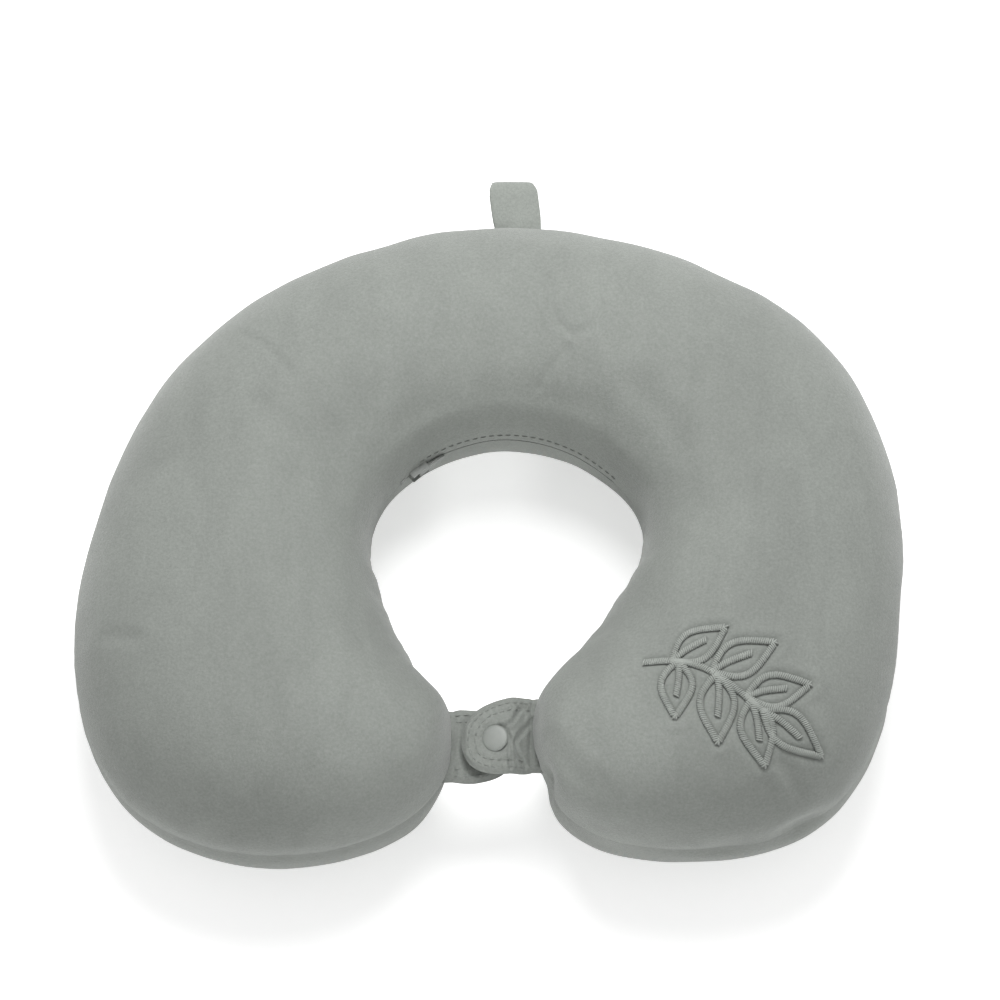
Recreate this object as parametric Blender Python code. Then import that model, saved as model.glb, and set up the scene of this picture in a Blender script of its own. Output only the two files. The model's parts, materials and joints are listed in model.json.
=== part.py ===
"""U shaped travel neck pillow: foam core, jersey liner, velour cover with zip, snap tabs and hang loop.

Metres, +Z up. The pillow lies flat on z = 0 with its nape towards +Y and its mouth towards -Y.
The origin is the middle of its bounding box, on the floor. Lengths below are in millimetres (MM).
"""

import math

import bmesh
import bpy
import numpy as np
from mathutils import Vector
from mathutils.bvhtree import BVHTree

MM = 0.001

# ---- driving dimensions, in millimetres ------------------------------------------------------
SEAM_Z = 46.0  # height of the plane that holds the cover's seam
UNDERSIDE_SWELL = 1.08  # depth below the seam over height above it, before the floor flattens it
SECTION_POWER = 2.25  # 2 is an ellipse, more is fuller
PLAN_SHIFT = (0.4, -1.0)  # puts the origin in the middle of the bounding box

LEFT_STEPS, NAPE_STEPS, RIGHT_STEPS = 14, 12, 15  # sections along each stretch of the U
SECTIONS = LEFT_STEPS + NAPE_STEPS + RIGHT_STEPS
ROUND = 16  # steps round a section; a multiple of 4
NECK_CENTRE = (8.0, -24.0)  # the nape's inner side is an arc about this point
NECK_RADIUS = 57.2

GAP = 0.3  # between pieces that touch
COVER = 1.2  # thickness of the velour
BEHIND_COVER = 1.1  # room for tapes, label and embroidery backing
LINER = 0.6
LINER_DEPTH = COVER + BEHIND_COVER
FOAM_DEPTH = LINER_DEPTH + LINER + GAP

ZIP_SLIT = 3.2  # half the opening between the two panels, along the seam's height
ZIP_POCKET = 2.4  # how far the foam and liner give way behind the zip
TAPE_DEPTH, TAPE_THICK, TAPE_HEIGHT = 3.4, 0.5, 9.0
COIL_FRONT, COIL_BACK, COIL_HEIGHT = 1.4, 3.0, 1.7
SLIDER_DEG = 128.5
SLIDER_LONG = 8.0
PULL_LONG, PULL_HIGH, PULL_THICK = 12.0, 3.8, 0.8

TAB_CLOTH = 1.5  # each of a tab's two layers
TAB_CLEAR = 1.6  # from a tab's hinge line, just off the lobe, to where its cloth starts
UPPER_ROOT, LOWER_ROOT = (17.4, -91.0), (-14.2, -95.5)  # the tabs' hinge lines in plan
SNAP = (2.8, -94.0)  # plan centre of the snap fastener
UPPER_TAB_Z, LOWER_TAB_Z = 50.85, 44.0  # middle planes of the tabs at the snap
CAP_RADIUS = 5.35

LOOP_X = 11.0
LOOP_WIDE, LOOP_LONG, LOOP_GAP, LOOP_CLOTH = 19.5, 21.5, 5.2, 1.5

MOTIF_CENTRE = (97.0, -91.5)
MOTIF_LONG, MOTIF_WIDE, MOTIF_THICK = 36.0, 25.0, 0.8  # half axes of the stitched area
MOTIF_TURN_DEG = -33.0

VELOUR = (0.345, 0.375, 0.335)
VELOUR_LIGHT = (0.39, 0.42, 0.38)
JERSEY = (0.80, 0.80, 0.78)
FOAM = (0.90, 0.87, 0.74)
TAPE = (0.30, 0.33, 0.30)
NYLON = (0.26, 0.29, 0.26)
ZINC = (0.55, 0.56, 0.56)
SNAP_PLASTIC = (0.42, 0.45, 0.41)
SATIN = (0.86, 0.86, 0.84)
BACKING = (0.88, 0.88, 0.88)

# Stations along the U, from the left lobe's tip over the nape to the right lobe's tip:
# (outer x, outer y, inner x, inner y, height above the seam).
LEFT_ARM = [
    (-15.5, -95.8, -15.5, -95.8, 0),
    (-20, -113, -16, -82, 25),
    (-31, -127.5, -21, -75.5, 38),
    (-56, -138.5, -27, -67, 45),
    (-91, -143.5, -32, -59, 50),
    (-127, -134.5, -36, -50.5, 52),
    (-154, -109.5, -40, -40.5, 52),
    (-167, -70, -43.5, -29, 51),
    (-163.5, -26, -45.5, -15, 49),
    (-153, 11, -44.5, -2, 47.5),
]
# On the nape the inner point is an angle on the neck arc: (outer x, outer y, degrees, height).
NAPE = [
    (-133, 55, 145, 46.5),
    (-90, 95, 125, 45.5),
    (-40, 115.5, 105, 44.5),
    (16, 122.5, 85, 44),
    (76, 110, 62, 44.5),
    (130, 81, 40, 46),
]
RIGHT_ARM = [
    (151.5, 53, 58.5, 3.5, 47),
    (162.5, 22, 61, -8, 48),
    (166.5, -15, 59, -19, 49),
    (165.5, -48, 54, -30.5, 50),
    (160, -80, 47, -41.5, 51),
    (150.5, -112, 40, -51, 51.5),
    (124, -132.5, 33, -60, 51),
    (84, -140, 27, -67, 48),
    (48, -137.5, 22.5, -73, 42),
    (29, -125, 19.5, -79, 34),
    (22, -109, 18.5, -86, 21),
    (18.8, -96.5, 18.8, -96.5, 0),
]


# ---- small helpers ----------------------------------------------------------------------------
def clear_scene():
    for obj in list(bpy.data.objects):
        bpy.data.objects.remove(obj, do_unlink=True)


def material(name, colour, roughness, metallic=0.0):
    made = bpy.data.materials.new(name)
    made.use_nodes = True
    shader = made.node_tree.nodes["Principled BSDF"]
    shader.inputs["Base Color"].default_value = (*colour, 1)
    shader.inputs["Roughness"].default_value = roughness
    shader.inputs["Metallic"].default_value = metallic
    return made


def placed(point):
    """A design point in millimetres as world metres."""
    return Vector((point[0] + PLAN_SHIFT[0], point[1] + PLAN_SHIFT[1], point[2])) * MM


def add_object(name, points, faces, finish, axis_point=None, smooth=True):
    """A mesh object from design points; its origin is at axis_point, or at the world's origin."""
    origin = placed(axis_point) if axis_point else Vector((0, 0, 0))
    mesh = bpy.data.meshes.new(name)
    mesh.from_pydata([placed(p) - origin for p in points], [], faces)
    work = bmesh.new()
    work.from_mesh(mesh)
    bmesh.ops.recalc_face_normals(work, faces=work.faces)
    if work.calc_volume(signed=True) < 0:
        bmesh.ops.reverse_faces(work, faces=work.faces)
    work.to_mesh(mesh)
    work.free()
    if smooth:
        mesh.shade_smooth()
        mesh.set_sharp_from_angle(angle=math.radians(40))
    mesh.materials.append(finish)
    obj = bpy.data.objects.new(name, mesh)
    obj.location = origin
    bpy.context.scene.collection.objects.link(obj)
    return obj


def split_quads(quads):
    """Two triangles for each quad, always across the same corner, so that offset shells match."""
    return [t for a, b, c, d in quads for t in ((a, b, c), (a, c, d)) if len(set(t)) == 3]


def smooth_step(t):
    t = min(max(t, 0.0), 1.0)
    return t * t * (3 - 2 * t)


# ---- the pillow's surface ---------------------------------------------------------------------
def neck_point(degrees, radius=NECK_RADIUS):
    turn = math.radians(degrees)
    return NECK_CENTRE[0] + radius * math.cos(turn), NECK_CENTRE[1] + radius * math.sin(turn)


def stations():
    nape = [(x, y, *neck_point(degrees), height) for x, y, degrees, height in NAPE]
    return np.array(LEFT_ARM + nape + RIGHT_ARM, float)


def along(table, where):
    """The table's row at a fractional index, on a Catmull-Rom curve through its rows."""
    last = len(table) - 1
    k = min(int(where), last - 1)
    t = where - k
    before, a = table[max(k - 1, 0)], table[k]
    b, after = table[k + 1], table[min(k + 2, last)]
    return a + 0.5 * t * (b - before + t * (2 * before - 5 * a + 4 * b - after
                                           + t * (3 * (a - b) + after - before)))


def section_positions():
    """Fractional indices along the stations: close together on the nape, where the zip bends."""
    nape_from = len(LEFT_ARM)
    nape_to = nape_from + len(NAPE) - 1
    last = nape_to + len(RIGHT_ARM)
    return np.concatenate([np.linspace(0, nape_from, LEFT_STEPS + 1)[:-1],
                           np.linspace(nape_from, nape_to, NAPE_STEPS + 1)[:-1],
                           np.linspace(nape_to, last, RIGHT_STEPS + 1)])


def surface_grid():
    """Points [section][step round], step 0 on the outer seam, half way round on the inner seam."""
    table = stations()
    grid = np.zeros((SECTIONS + 1, ROUND, 3))
    for i, where in enumerate(section_positions()):
        outer_x, outer_y, inner_x, inner_y, height = along(table, where)
        middle = np.array([(outer_x + inner_x) / 2, (outer_y + inner_y) / 2])
        reach = np.array([(outer_x - inner_x) / 2, (outer_y - inner_y) / 2])
        if i in (0, SECTIONS):
            reach *= 0
            height = 0
        for j in range(ROUND):
            turn = 2 * math.pi * j / ROUND
            c, s = math.cos(turn), math.sin(turn)
            across = math.copysign(abs(c) ** (2 / SECTION_POWER), c) if abs(c) > 1e-9 else 0.0
            rise = math.copysign(abs(s) ** (2 / SECTION_POWER), s) if abs(s) > 1e-9 else 0.0
            swell = 1.0 if rise >= 0 else UNDERSIDE_SWELL
            z = max(SEAM_Z + height * swell * rise, 0.0)
            grid[i, j] = (*(middle + reach * across), z)
    return grid


def surface_normals(grid):
    normals = np.zeros_like(grid)
    for i in range(1, SECTIONS):
        lengthwise = grid[i + 1] - grid[i - 1]
        roundwise = np.roll(grid[i], -1, axis=0) - np.roll(grid[i], 1, axis=0)
        normals[i] = np.cross(roundwise, lengthwise)
        normals[i][[0, ROUND // 2], 2] = 0  # square to the seam plane on both seams
        flat = grid[i][:, 2] <= 0
        normals[i][flat] = (0, 0, -1)
        middle = grid[i].mean(axis=0)
        outward = np.sign(((grid[i] - middle) * normals[i]).sum(axis=1))
        normals[i] *= outward[:, None]
        normals[i][flat] = (0, 0, -1)
    for tip, inner in ((0, 1), (SECTIONS, SECTIONS - 1)):
        out = grid[tip, 0] - grid[inner].mean(axis=0)
        out[2] = 0
        normals[tip] = out
    return normals / np.linalg.norm(normals, axis=2, keepdims=True)


GRID = surface_grid()
NORMALS = surface_normals(GRID)
INNER_ROW = ROUND // 2


def neck_angle(i):
    """Where section i's inner seam point lies on the neck arc, in degrees."""
    x, y, _ = GRID[i, INNER_ROW]
    return math.degrees(math.atan2(y - NECK_CENTRE[1], x - NECK_CENTRE[0]))


ZIP_SECTIONS = list(range(LEFT_STEPS + 1, LEFT_STEPS + NAPE_STEPS))


def section_under(x, y):
    """The section whose crest is nearest to a plan point."""
    crest = GRID[:, ROUND // 4, :2]
    return int(np.argmin(((crest - (x, y)) ** 2).sum(axis=1)))


def at_depth(depth, pocket=False):
    """The surface moved in by depth; with a pocket it gives way further behind the zip."""
    depths = np.full((SECTIONS + 1, ROUND), depth)
    if pocket:
        rows = slice(INNER_ROW - 1, INNER_ROW + 2)
        depths[ZIP_SECTIONS[0] - 1:ZIP_SECTIONS[-1] + 2, rows] += ZIP_POCKET
    return GRID - NORMALS * depths[:, :, None]


def half_grid(surface, upper, slit=False):
    """One side of the seam: rows from seam to seam, its edges drawn back from the seam plane."""
    side = 1 if upper else -1
    rows = [(side * k) % ROUND for k in range(ROUND // 2 + 1)]
    half = surface[:, rows].copy()
    half[:, [0, -1], 2] += side * GAP / 2
    half[[0, -1], 1:-1] = half[[0, -1], :1]
    if slit:
        for i in ZIP_SECTIONS:
            chord = surface[i, rows[-2]] - surface[i, rows[-1]]
            half[i, -1] = surface[i, rows[-1]] + chord * ZIP_SLIT / abs(chord[2])
    return half


def shell(name, outer, inner, upper, finish):
    """A closed sheet between two half grids whose ends draw together at the tips."""
    count, rows = outer.shape[:2]
    points, index = [], {}
    for layer, half in enumerate((outer, inner)):
        for i in range(count):
            for k in range(rows):
                tip = i in (0, count - 1)
                if tip and k:
                    index[layer, i, k] = index[layer, i, 0]
                    continue
                index[layer, i, k] = len(points)
                points.append(half[i, k])
    quads = []
    for i in range(count - 1):
        for k in range(rows - 1):
            a, b = (k, k + 1) if upper else (k + 1, k)
            for layer in (0, 1):
                quads.append([index[layer, i, a], index[layer, i + 1, a],
                              index[layer, i + 1, b], index[layer, i, b]])
        for k in (0, rows - 1):
            quads.append([index[0, i, k], index[0, i + 1, k], index[1, i + 1, k], index[1, i, k]])
    return add_object(name, points, split_quads(quads), finish)


def plate(name, front, back, finish, axis_point=None):
    """A closed sheet between two equal point grids."""
    rows, columns = front.shape[:2]
    points = [p for grid in (front, back) for row in grid for p in row]

    def at(layer, r, c):
        return layer * rows * columns + r * columns + c

    quads = []
    for r in range(rows - 1):
        for c in range(columns - 1):
            for layer in (0, 1):
                quads.append([at(layer, r, c), at(layer, r + 1, c),
                              at(layer, r + 1, c + 1), at(layer, r, c + 1)])
    for r in range(rows - 1):
        for c in (0, columns - 1):
            quads.append([at(0, r, c), at(0, r + 1, c), at(1, r + 1, c), at(1, r, c)])
    for c in range(columns - 1):
        for r in (0, rows - 1):
            quads.append([at(0, r, c), at(0, r, c + 1), at(1, r, c + 1), at(1, r, c)])
    return add_object(name, points, split_quads(quads), finish, axis_point)


def make_foam(finish):
    """The core is one closed body with a single point at each tip."""
    surface = at_depth(FOAM_DEPTH, pocket=True)
    points = [surface[0, 0]]
    for i in range(1, SECTIONS):
        points.extend(surface[i])
    points.append(surface[SECTIONS, 0])

    def at(i, j):
        if i == 0:
            return 0
        if i == SECTIONS:
            return len(points) - 1
        return 1 + (i - 1) * ROUND + j % ROUND

    quads = [[at(i, j), at(i + 1, j), at(i + 1, j + 1), at(i, j + 1)]
             for i in range(SECTIONS) for j in range(ROUND)]
    return add_object("foam_core", points, split_quads(quads), finish)


def make_panels(prefix, depth, thick, finish, zip_side):
    """Upper and lower halves of a sewn bag: the cover's are parted along the zip."""
    pocket = not zip_side
    outer, inner = at_depth(depth, pocket), at_depth(depth + thick, pocket)
    for side, upper in (("top", True), ("bottom", False)):
        shell(f"{prefix}_{side}", half_grid(outer, upper, zip_side),
              half_grid(inner, upper, zip_side), upper, finish)


def patch(name, sections, rows, depth, thick, finish):
    """A flat piece that lies against the inside of the cover."""
    outer, inner = at_depth(depth), at_depth(depth + thick)
    return plate(name, outer[np.ix_(sections, rows)], inner[np.ix_(sections, rows)], finish)


# ---- zip --------------------------------------------------------------------------------------
def make_tape(name, side, finish):
    """The tape lies behind the panel's edge, from beside the coil to the far side of its stitching."""
    next_row = INNER_ROW - side
    sheets = []
    for depth in (TAPE_DEPTH, TAPE_DEPTH + TAPE_THICK):
        sheet = np.zeros((len(ZIP_SECTIONS), 2, 3))
        surface = GRID - NORMALS * depth
        for n, i in enumerate(ZIP_SECTIONS):
            chord = surface[i, next_row] - surface[i, INNER_ROW]
            for c, height in enumerate((GAP / 2, TAPE_HEIGHT)):
                sheet[n, c] = surface[i, INNER_ROW] + chord * height / abs(chord[2])
        sheets.append(sheet)
    return plate(name, sheets[0], sheets[1], finish)


def arc_block(name, degrees, fronts, heights, steps, finish, axis_point=None):
    """A bar bent along the neck arc: fronts are its depths into the wall, heights from the seam."""
    grids = []
    for depth in fronts:
        grid = np.zeros((steps + 1, 2, 3))
        for n in range(steps + 1):
            turn = degrees[0] + (degrees[1] - degrees[0]) * n / steps
            x, y = neck_point(turn, NECK_RADIUS + depth)
            for c, height in enumerate(heights):
                grid[n, c] = (x, y, SEAM_Z + height)
        grids.append(grid)
    return plate(name, grids[0], grids[1], finish, axis_point)


def degrees_of(length):
    return math.degrees(length / NECK_RADIUS)


def make_zip(finishes):
    tape, nylon, zinc = finishes
    first, last = neck_angle(ZIP_SECTIONS[0]), neck_angle(ZIP_SECTIONS[-1])
    stop = degrees_of(2.2)
    coil = (first - stop - degrees_of(0.6), last + stop + degrees_of(0.6))
    for side, word in ((1, "upper"), (-1, "lower")):
        make_tape(f"zip_tape_{word}", side, tape)
        heights = (side * GAP / 2, side * COIL_HEIGHT)
        arc_block(f"zip_coil_{word}", coil, (COIL_FRONT, COIL_BACK), heights, 28, nylon)
        ends = (first, first - stop)
        arc_block(f"zip_top_stop_{word}", ends, (COIL_FRONT - 0.2, COIL_BACK),
                  (side * 0.3, side * (COIL_HEIGHT + 0.2)), 1, zinc)
    ends = (last + stop, last)
    arc_block("zip_bottom_stop", ends, (COIL_FRONT - 0.2, COIL_BACK),
              (-COIL_HEIGHT - 0.2, COIL_HEIGHT + 0.2), 1, zinc)
    make_slider(zinc)


def make_slider(finish):
    """A channel over the chain, with ears that hold the pull; it turns about the neck arc's centre."""
    half = degrees_of(SLIDER_LONG / 2)
    span = (SLIDER_DEG + half, SLIDER_DEG - half)
    axis_point = (*NECK_CENTRE, SEAM_Z)
    plate_front, plate_back = 0.1, COIL_FRONT - GAP
    lip, wall = COIL_HEIGHT + GAP, COIL_HEIGHT + GAP + 0.75
    ear_front, ear = -1.3, PULL_HIGH / 2 + GAP
    profile = [(ear_front, -wall), (ear_front, -ear), (plate_front, -ear), (plate_front, ear),
               (ear_front, ear), (ear_front, wall), (COIL_BACK - 0.3, wall),
               (COIL_BACK - 0.3, lip), (plate_back, lip), (plate_back, -lip),
               (COIL_BACK - 0.3, -lip), (COIL_BACK - 0.3, -wall)]
    points, faces = [], []
    steps = 3
    for n in range(steps + 1):
        turn = span[0] + (span[1] - span[0]) * n / steps
        points.extend((*neck_point(turn, NECK_RADIUS + d), SEAM_Z + z) for d, z in profile)
    count = len(profile)
    for n in range(steps):
        for k in range(count):
            a, b = n * count + k, n * count + (k + 1) % count
            faces.append((a, b, b + count, a + count))
    faces.append(tuple(range(count)))
    faces.append(tuple(steps * count + k for k in range(count)))
    slider = add_object("zip_slider", points, faces, finish, axis_point, smooth=False)
    make_pull(finish, slider)


def make_pull(finish, slider):
    """A flat tongue that lies along the zip, pivoting on the slider about an upright axis."""
    pivot = neck_point(SLIDER_DEG, NECK_RADIUS - PULL_THICK)
    turn = math.radians(SLIDER_DEG)
    outward = np.array([math.cos(turn), math.sin(turn)])
    trail = np.array([math.sin(turn), -math.cos(turn)])
    half = PULL_HIGH / 2
    outline = [(-0.5, half), (-0.5, -half), (PULL_LONG - 2, -half), (PULL_LONG, -half * 0.6),
               (PULL_LONG, half * 0.6), (PULL_LONG - 2, half)]
    points, faces = [], []
    for depth in (-PULL_THICK / 2, PULL_THICK / 2):
        for length, height in outline:
            plan = np.array(pivot) + trail * length + outward * depth
            points.append((*plan, SEAM_Z + height))
    count = len(outline)
    faces = [tuple(range(count)), tuple(count + k for k in range(count))]
    faces += [(k, (k + 1) % count, count + (k + 1) % count, count + k) for k in range(count)]
    pull = add_object("zip_pull", points, faces, finish, (*pivot, SEAM_Z), smooth=False)
    pull.parent = slider
    pull.location -= slider.location


# ---- snap tabs --------------------------------------------------------------------------------
def tab_surface(root, toward, reach, half_width, plane, height):
    """One face of a tab: it thickens from its sewn root, steps to its own plane, ends in a half round."""
    steps, across = 9, 6
    grid = np.zeros((steps + 1, across + 1, 3))
    straight = reach - half_width * 0.8
    for n in range(steps + 1):
        t = n / steps
        far = TAB_CLEAR + (reach - TAB_CLEAR) * (1 - (1 - t) ** 1.6)
        past = max(far - straight, 0) / (reach - straight)
        narrow = math.sqrt(max(1 - past ** 2, 0)) if n < steps else 0.12
        x = root[0] + toward * far
        y = root[1] + (SNAP[1] - root[1]) * smooth_step(far / abs(SNAP[0] - root[0]))
        thick = 0.55 + 0.45 * smooth_step(far / 8)
        z = SEAM_Z + (plane - SEAM_Z) * smooth_step(far / 9.5) + height * thick
        for c in range(across + 1):
            grid[n, c] = (x, y + half_width * narrow * (2 * c / across - 1), z)
    return grid


def make_tab(word, root, toward, reach, half_width, plane, finish):
    axis_point = (*root, SEAM_Z)
    layers = {"face": (GAP / 2, GAP / 2 + TAB_CLOTH), "back": (-GAP / 2 - TAB_CLOTH, -GAP / 2)}
    for layer, (low, high) in layers.items():
        top = tab_surface(root, toward, reach, half_width, plane, high)
        under = tab_surface(root, toward, reach, half_width, plane, low)
        cloth = plate(f"{word}_tab_{layer}", top, under, finish, axis_point)
        hole = turned("snap_hole_cutter", [(0, plane - 6), (1.3, plane - 6), (1.3, plane + 6),
                                           (0, plane + 6)], 16, finish)
        hole.hide_render = True
        hole.display_type = "WIRE"
        cut = cloth.modifiers.new("snap_hole", "BOOLEAN")
        cut.operation = "DIFFERENCE"
        cut.object = hole


def turned(name, profile, sides, finish, axis_point=None):
    """A solid of revolution about the snap's upright axis, from (radius, z) points, low to high."""
    points, rings = [], []
    for radius, z in profile:
        if radius == 0:
            rings.append([len(points)] * sides)
            points.append((*SNAP, z))
            continue
        rings.append(list(range(len(points), len(points) + sides)))
        for k in range(sides):
            turn = 2 * math.pi * k / sides
            points.append((SNAP[0] + radius * math.cos(turn), SNAP[1] + radius * math.sin(turn), z))
    closed = profile[0][0] != 0
    pairs = list(zip(rings, rings[1:] + rings[:1])) if closed else list(zip(rings, rings[1:]))
    faces = []
    for low, high in pairs:
        for k in range(sides):
            ring = [low[k], low[(k + 1) % sides], high[(k + 1) % sides], high[k]]
            face = tuple(dict.fromkeys(ring))
            if len(face) > 2:
                faces.append(face)
    return add_object(name, points, faces, finish, axis_point)


def make_snap(finish):
    """Cap and socket ride on the upper tab, stud and back cap on the lower one."""
    upper_axis, lower_axis = (*UPPER_ROOT, SEAM_Z), (*LOWER_ROOT, SEAM_Z)
    cloth = TAB_CLOTH + GAP / 2
    cap_low = UPPER_TAB_Z + cloth + GAP
    socket_high = UPPER_TAB_Z - cloth - GAP
    stud_low = LOWER_TAB_Z + cloth + GAP
    back_high = LOWER_TAB_Z - cloth - GAP
    post = 0.9
    turned("snap_cap", [(0, socket_high + GAP), (post, socket_high + GAP), (post, cap_low),
                        (CAP_RADIUS, cap_low), (CAP_RADIUS, cap_low + 0.4),
                        (CAP_RADIUS * 0.8, cap_low + 0.95), (CAP_RADIUS * 0.4, cap_low + 1.2),
                        (0, cap_low + 1.25)], 24, finish, upper_axis)
    turned("snap_socket", [(2.8, socket_high - 1.7), (4.4, socket_high - 1.7),
                           (5.2, socket_high - 0.8), (5.2, socket_high), (2.8, socket_high)],
           24, finish, upper_axis)
    turned("snap_stud", [(0, stud_low), (5.0, stud_low), (5.0, stud_low + 0.9),
                         (1.8, stud_low + 1.0), (1.8, stud_low + 1.6), (2.1, stud_low + 2.1),
                         (1.5, stud_low + 2.4), (0, stud_low + 2.4)], 20, finish, lower_axis)
    turned("snap_back_cap", [(0, back_high - 1.25), (CAP_RADIUS * 0.4, back_high - 1.2),
                             (CAP_RADIUS * 0.8, back_high - 0.95), (CAP_RADIUS, back_high - 0.4),
                             (CAP_RADIUS, back_high), (post, back_high),
                             (post, stud_low - GAP), (0, stud_low - GAP)], 24, finish, lower_axis)


# ---- hang loop --------------------------------------------------------------------------------
def make_loop(root_y, finish):
    """A strip folded over and sewn by both ends: its side view, extruded along X."""
    inside, far, c = LOOP_GAP / 2, LOOP_LONG, LOOP_CLOTH
    near, open_from, pinch = 0.8, 5.0, GAP / 2
    upper_side = [(near, pinch + c), (open_from, inside + c), (far - 3.4, inside + c),
                  (far - 1.2, inside + c - 0.9), (far, 1.6)]
    upper_inside = [(far - c, 1.5), (far - 3.6, inside), (open_from, inside), (near, pinch)]
    lower_side = [(y, -z) for y, z in reversed(upper_side)]
    lower_inside = [(y, -z) for y, z in reversed(upper_inside)]
    profile = upper_side + lower_side + lower_inside + upper_inside
    count = len(profile)
    points = []
    for side in (-1, 1):
        points.extend((LOOP_X + side * LOOP_WIDE / 2, root_y + y, SEAM_Z + z) for y, z in profile)
    faces = [tuple(range(count)), tuple(count + k for k in range(count))]
    faces += [(k, (k + 1) % count, count + (k + 1) % count, count + k) for k in range(count)]
    return add_object("hang_loop", points, faces, finish, (LOOP_X, root_y, SEAM_Z), smooth=False)


# ---- stitched motif ---------------------------------------------------------------------------
def make_motif(cover, finish):
    """The stitched area as one thin oval that follows the cover."""
    cover_mesh = cover.data
    tree = BVHTree.FromPolygons([v.co for v in cover_mesh.vertices],
                                [p.vertices for p in cover_mesh.polygons])
    turn = math.radians(MOTIF_TURN_DEG)
    rings, sides, clear = 7, 24, 1.1
    layers = []
    for lift in (clear + MOTIF_THICK, clear):
        layer = []
        for r in range(rings + 1):
            for k in range(sides if r else 1):
                a = 2 * math.pi * k / sides
                u, v = MOTIF_LONG * r / rings * math.cos(a), MOTIF_WIDE * r / rings * math.sin(a)
                x = MOTIF_CENTRE[0] + u * math.cos(turn) - v * math.sin(turn)
                y = MOTIF_CENTRE[1] + u * math.sin(turn) + v * math.cos(turn)
                hit = tree.ray_cast(placed((x, y, 200)), Vector((0, 0, -1)))[0]
                layer.append((x, y, hit.z / MM + lift))
        layers.append(layer)
    count = len(layers[0])

    def at(layer, r, k):
        return layer * count + (0 if r == 0 else 1 + (r - 1) * sides + k % sides)

    quads = [[at(layer, r, k), at(layer, r + 1, k), at(layer, r + 1, k + 1), at(layer, r, k + 1)]
             for layer in (0, 1) for r in range(rings) for k in range(sides)]
    quads += [[at(0, rings, k), at(0, rings, k + 1), at(1, rings, k + 1), at(1, rings, k)]
              for k in range(sides)]
    return add_object("embroidery", layers[0] + layers[1], split_quads(quads), finish)


def main():
    clear_scene()
    velour = material("velour", VELOUR, 0.9)
    make_foam(material("memory_foam", FOAM, 0.95))
    make_panels("liner", LINER_DEPTH, LINER, material("jersey", JERSEY, 0.9), False)
    make_panels("cover", 0, COVER, velour, True)
    quarter = ROUND // 4
    under = section_under(*MOTIF_CENTRE)
    patch("embroidery_backing", range(under - 2, under + 3), range(quarter - 2, quarter + 3),
          COVER + GAP, 0.5, material("cutaway_backing", BACKING, 0.9))
    label = LEFT_STEPS + NAPE_STEPS // 2
    patch("care_label", range(label, label + 4), range(INNER_ROW + 2, INNER_ROW + 4), COVER + GAP, 0.3,
          material("satin_label", SATIN, 0.5))
    make_zip((material("zip_tape", TAPE, 0.85), material("zip_nylon", NYLON, 0.5),
              material("zip_zinc", ZINC, 0.35, 1.0)))
    make_tab("upper", UPPER_ROOT, -1, 28.0, 16.5, UPPER_TAB_Z, velour)
    make_tab("lower", LOWER_ROOT, 1, 26.2, 16.0, LOWER_TAB_Z, velour)
    make_snap(material("snap_plastic", SNAP_PLASTIC, 0.45))
    root_y = max(GRID[i, 0][1] for i in range(SECTIONS + 1)) + 0.5
    make_loop(root_y, material("velour_strip", VELOUR_LIGHT, 0.85))
    make_motif(bpy.data.objects["cover_top"], material("rayon_thread", VELOUR_LIGHT, 0.6))


main()
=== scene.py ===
# %% [markdown]
# # A U shaped neck pillow in plush velour
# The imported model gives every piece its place. This lesson turns its plain solids into cloth: a
# stuffed cover in two panels, a zip in the nape, two tabs with a snap, a hanging loop and a stitched
# leafy sprig. Each step first says what the real thing is and why it is made the way it is.

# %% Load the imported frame
import json
import math

import bmesh
import bpy
import numpy as np
from mathutils import Matrix, Vector, noise
from mathutils.bvhtree import BVHTree
from mathutils.kdtree import KDTree


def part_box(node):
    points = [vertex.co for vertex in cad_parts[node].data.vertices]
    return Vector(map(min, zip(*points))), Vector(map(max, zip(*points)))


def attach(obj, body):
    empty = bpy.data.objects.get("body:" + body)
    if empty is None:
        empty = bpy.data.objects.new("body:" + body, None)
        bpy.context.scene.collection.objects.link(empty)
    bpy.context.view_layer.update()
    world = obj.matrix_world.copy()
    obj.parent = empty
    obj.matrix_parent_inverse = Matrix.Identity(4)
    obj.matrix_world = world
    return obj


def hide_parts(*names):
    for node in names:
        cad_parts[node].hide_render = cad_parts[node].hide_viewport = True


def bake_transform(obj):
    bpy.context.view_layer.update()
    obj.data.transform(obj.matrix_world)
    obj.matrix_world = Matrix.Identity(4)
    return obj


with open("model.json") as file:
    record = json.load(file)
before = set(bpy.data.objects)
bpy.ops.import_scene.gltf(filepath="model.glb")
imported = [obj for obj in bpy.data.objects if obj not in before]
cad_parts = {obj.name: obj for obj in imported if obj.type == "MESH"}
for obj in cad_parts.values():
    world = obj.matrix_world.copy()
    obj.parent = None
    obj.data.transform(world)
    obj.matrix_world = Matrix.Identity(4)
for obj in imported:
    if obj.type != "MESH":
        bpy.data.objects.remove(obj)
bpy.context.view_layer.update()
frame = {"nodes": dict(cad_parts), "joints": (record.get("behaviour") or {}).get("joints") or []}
MM = 0.001

# %% [markdown]
# Every surface needs a material made of nodes. Velour is a dense short pile: it hardly shines, it
# glows a little where it turns away from the eye, and strokes of a hand leave it lighter or darker in
# soft patches. So its colour mixes wide and fine noise, its bump is a fine grain, and sheen does the
# glow. Object coordinates hold the pattern still, because a finished piece sits at the origin.

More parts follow.
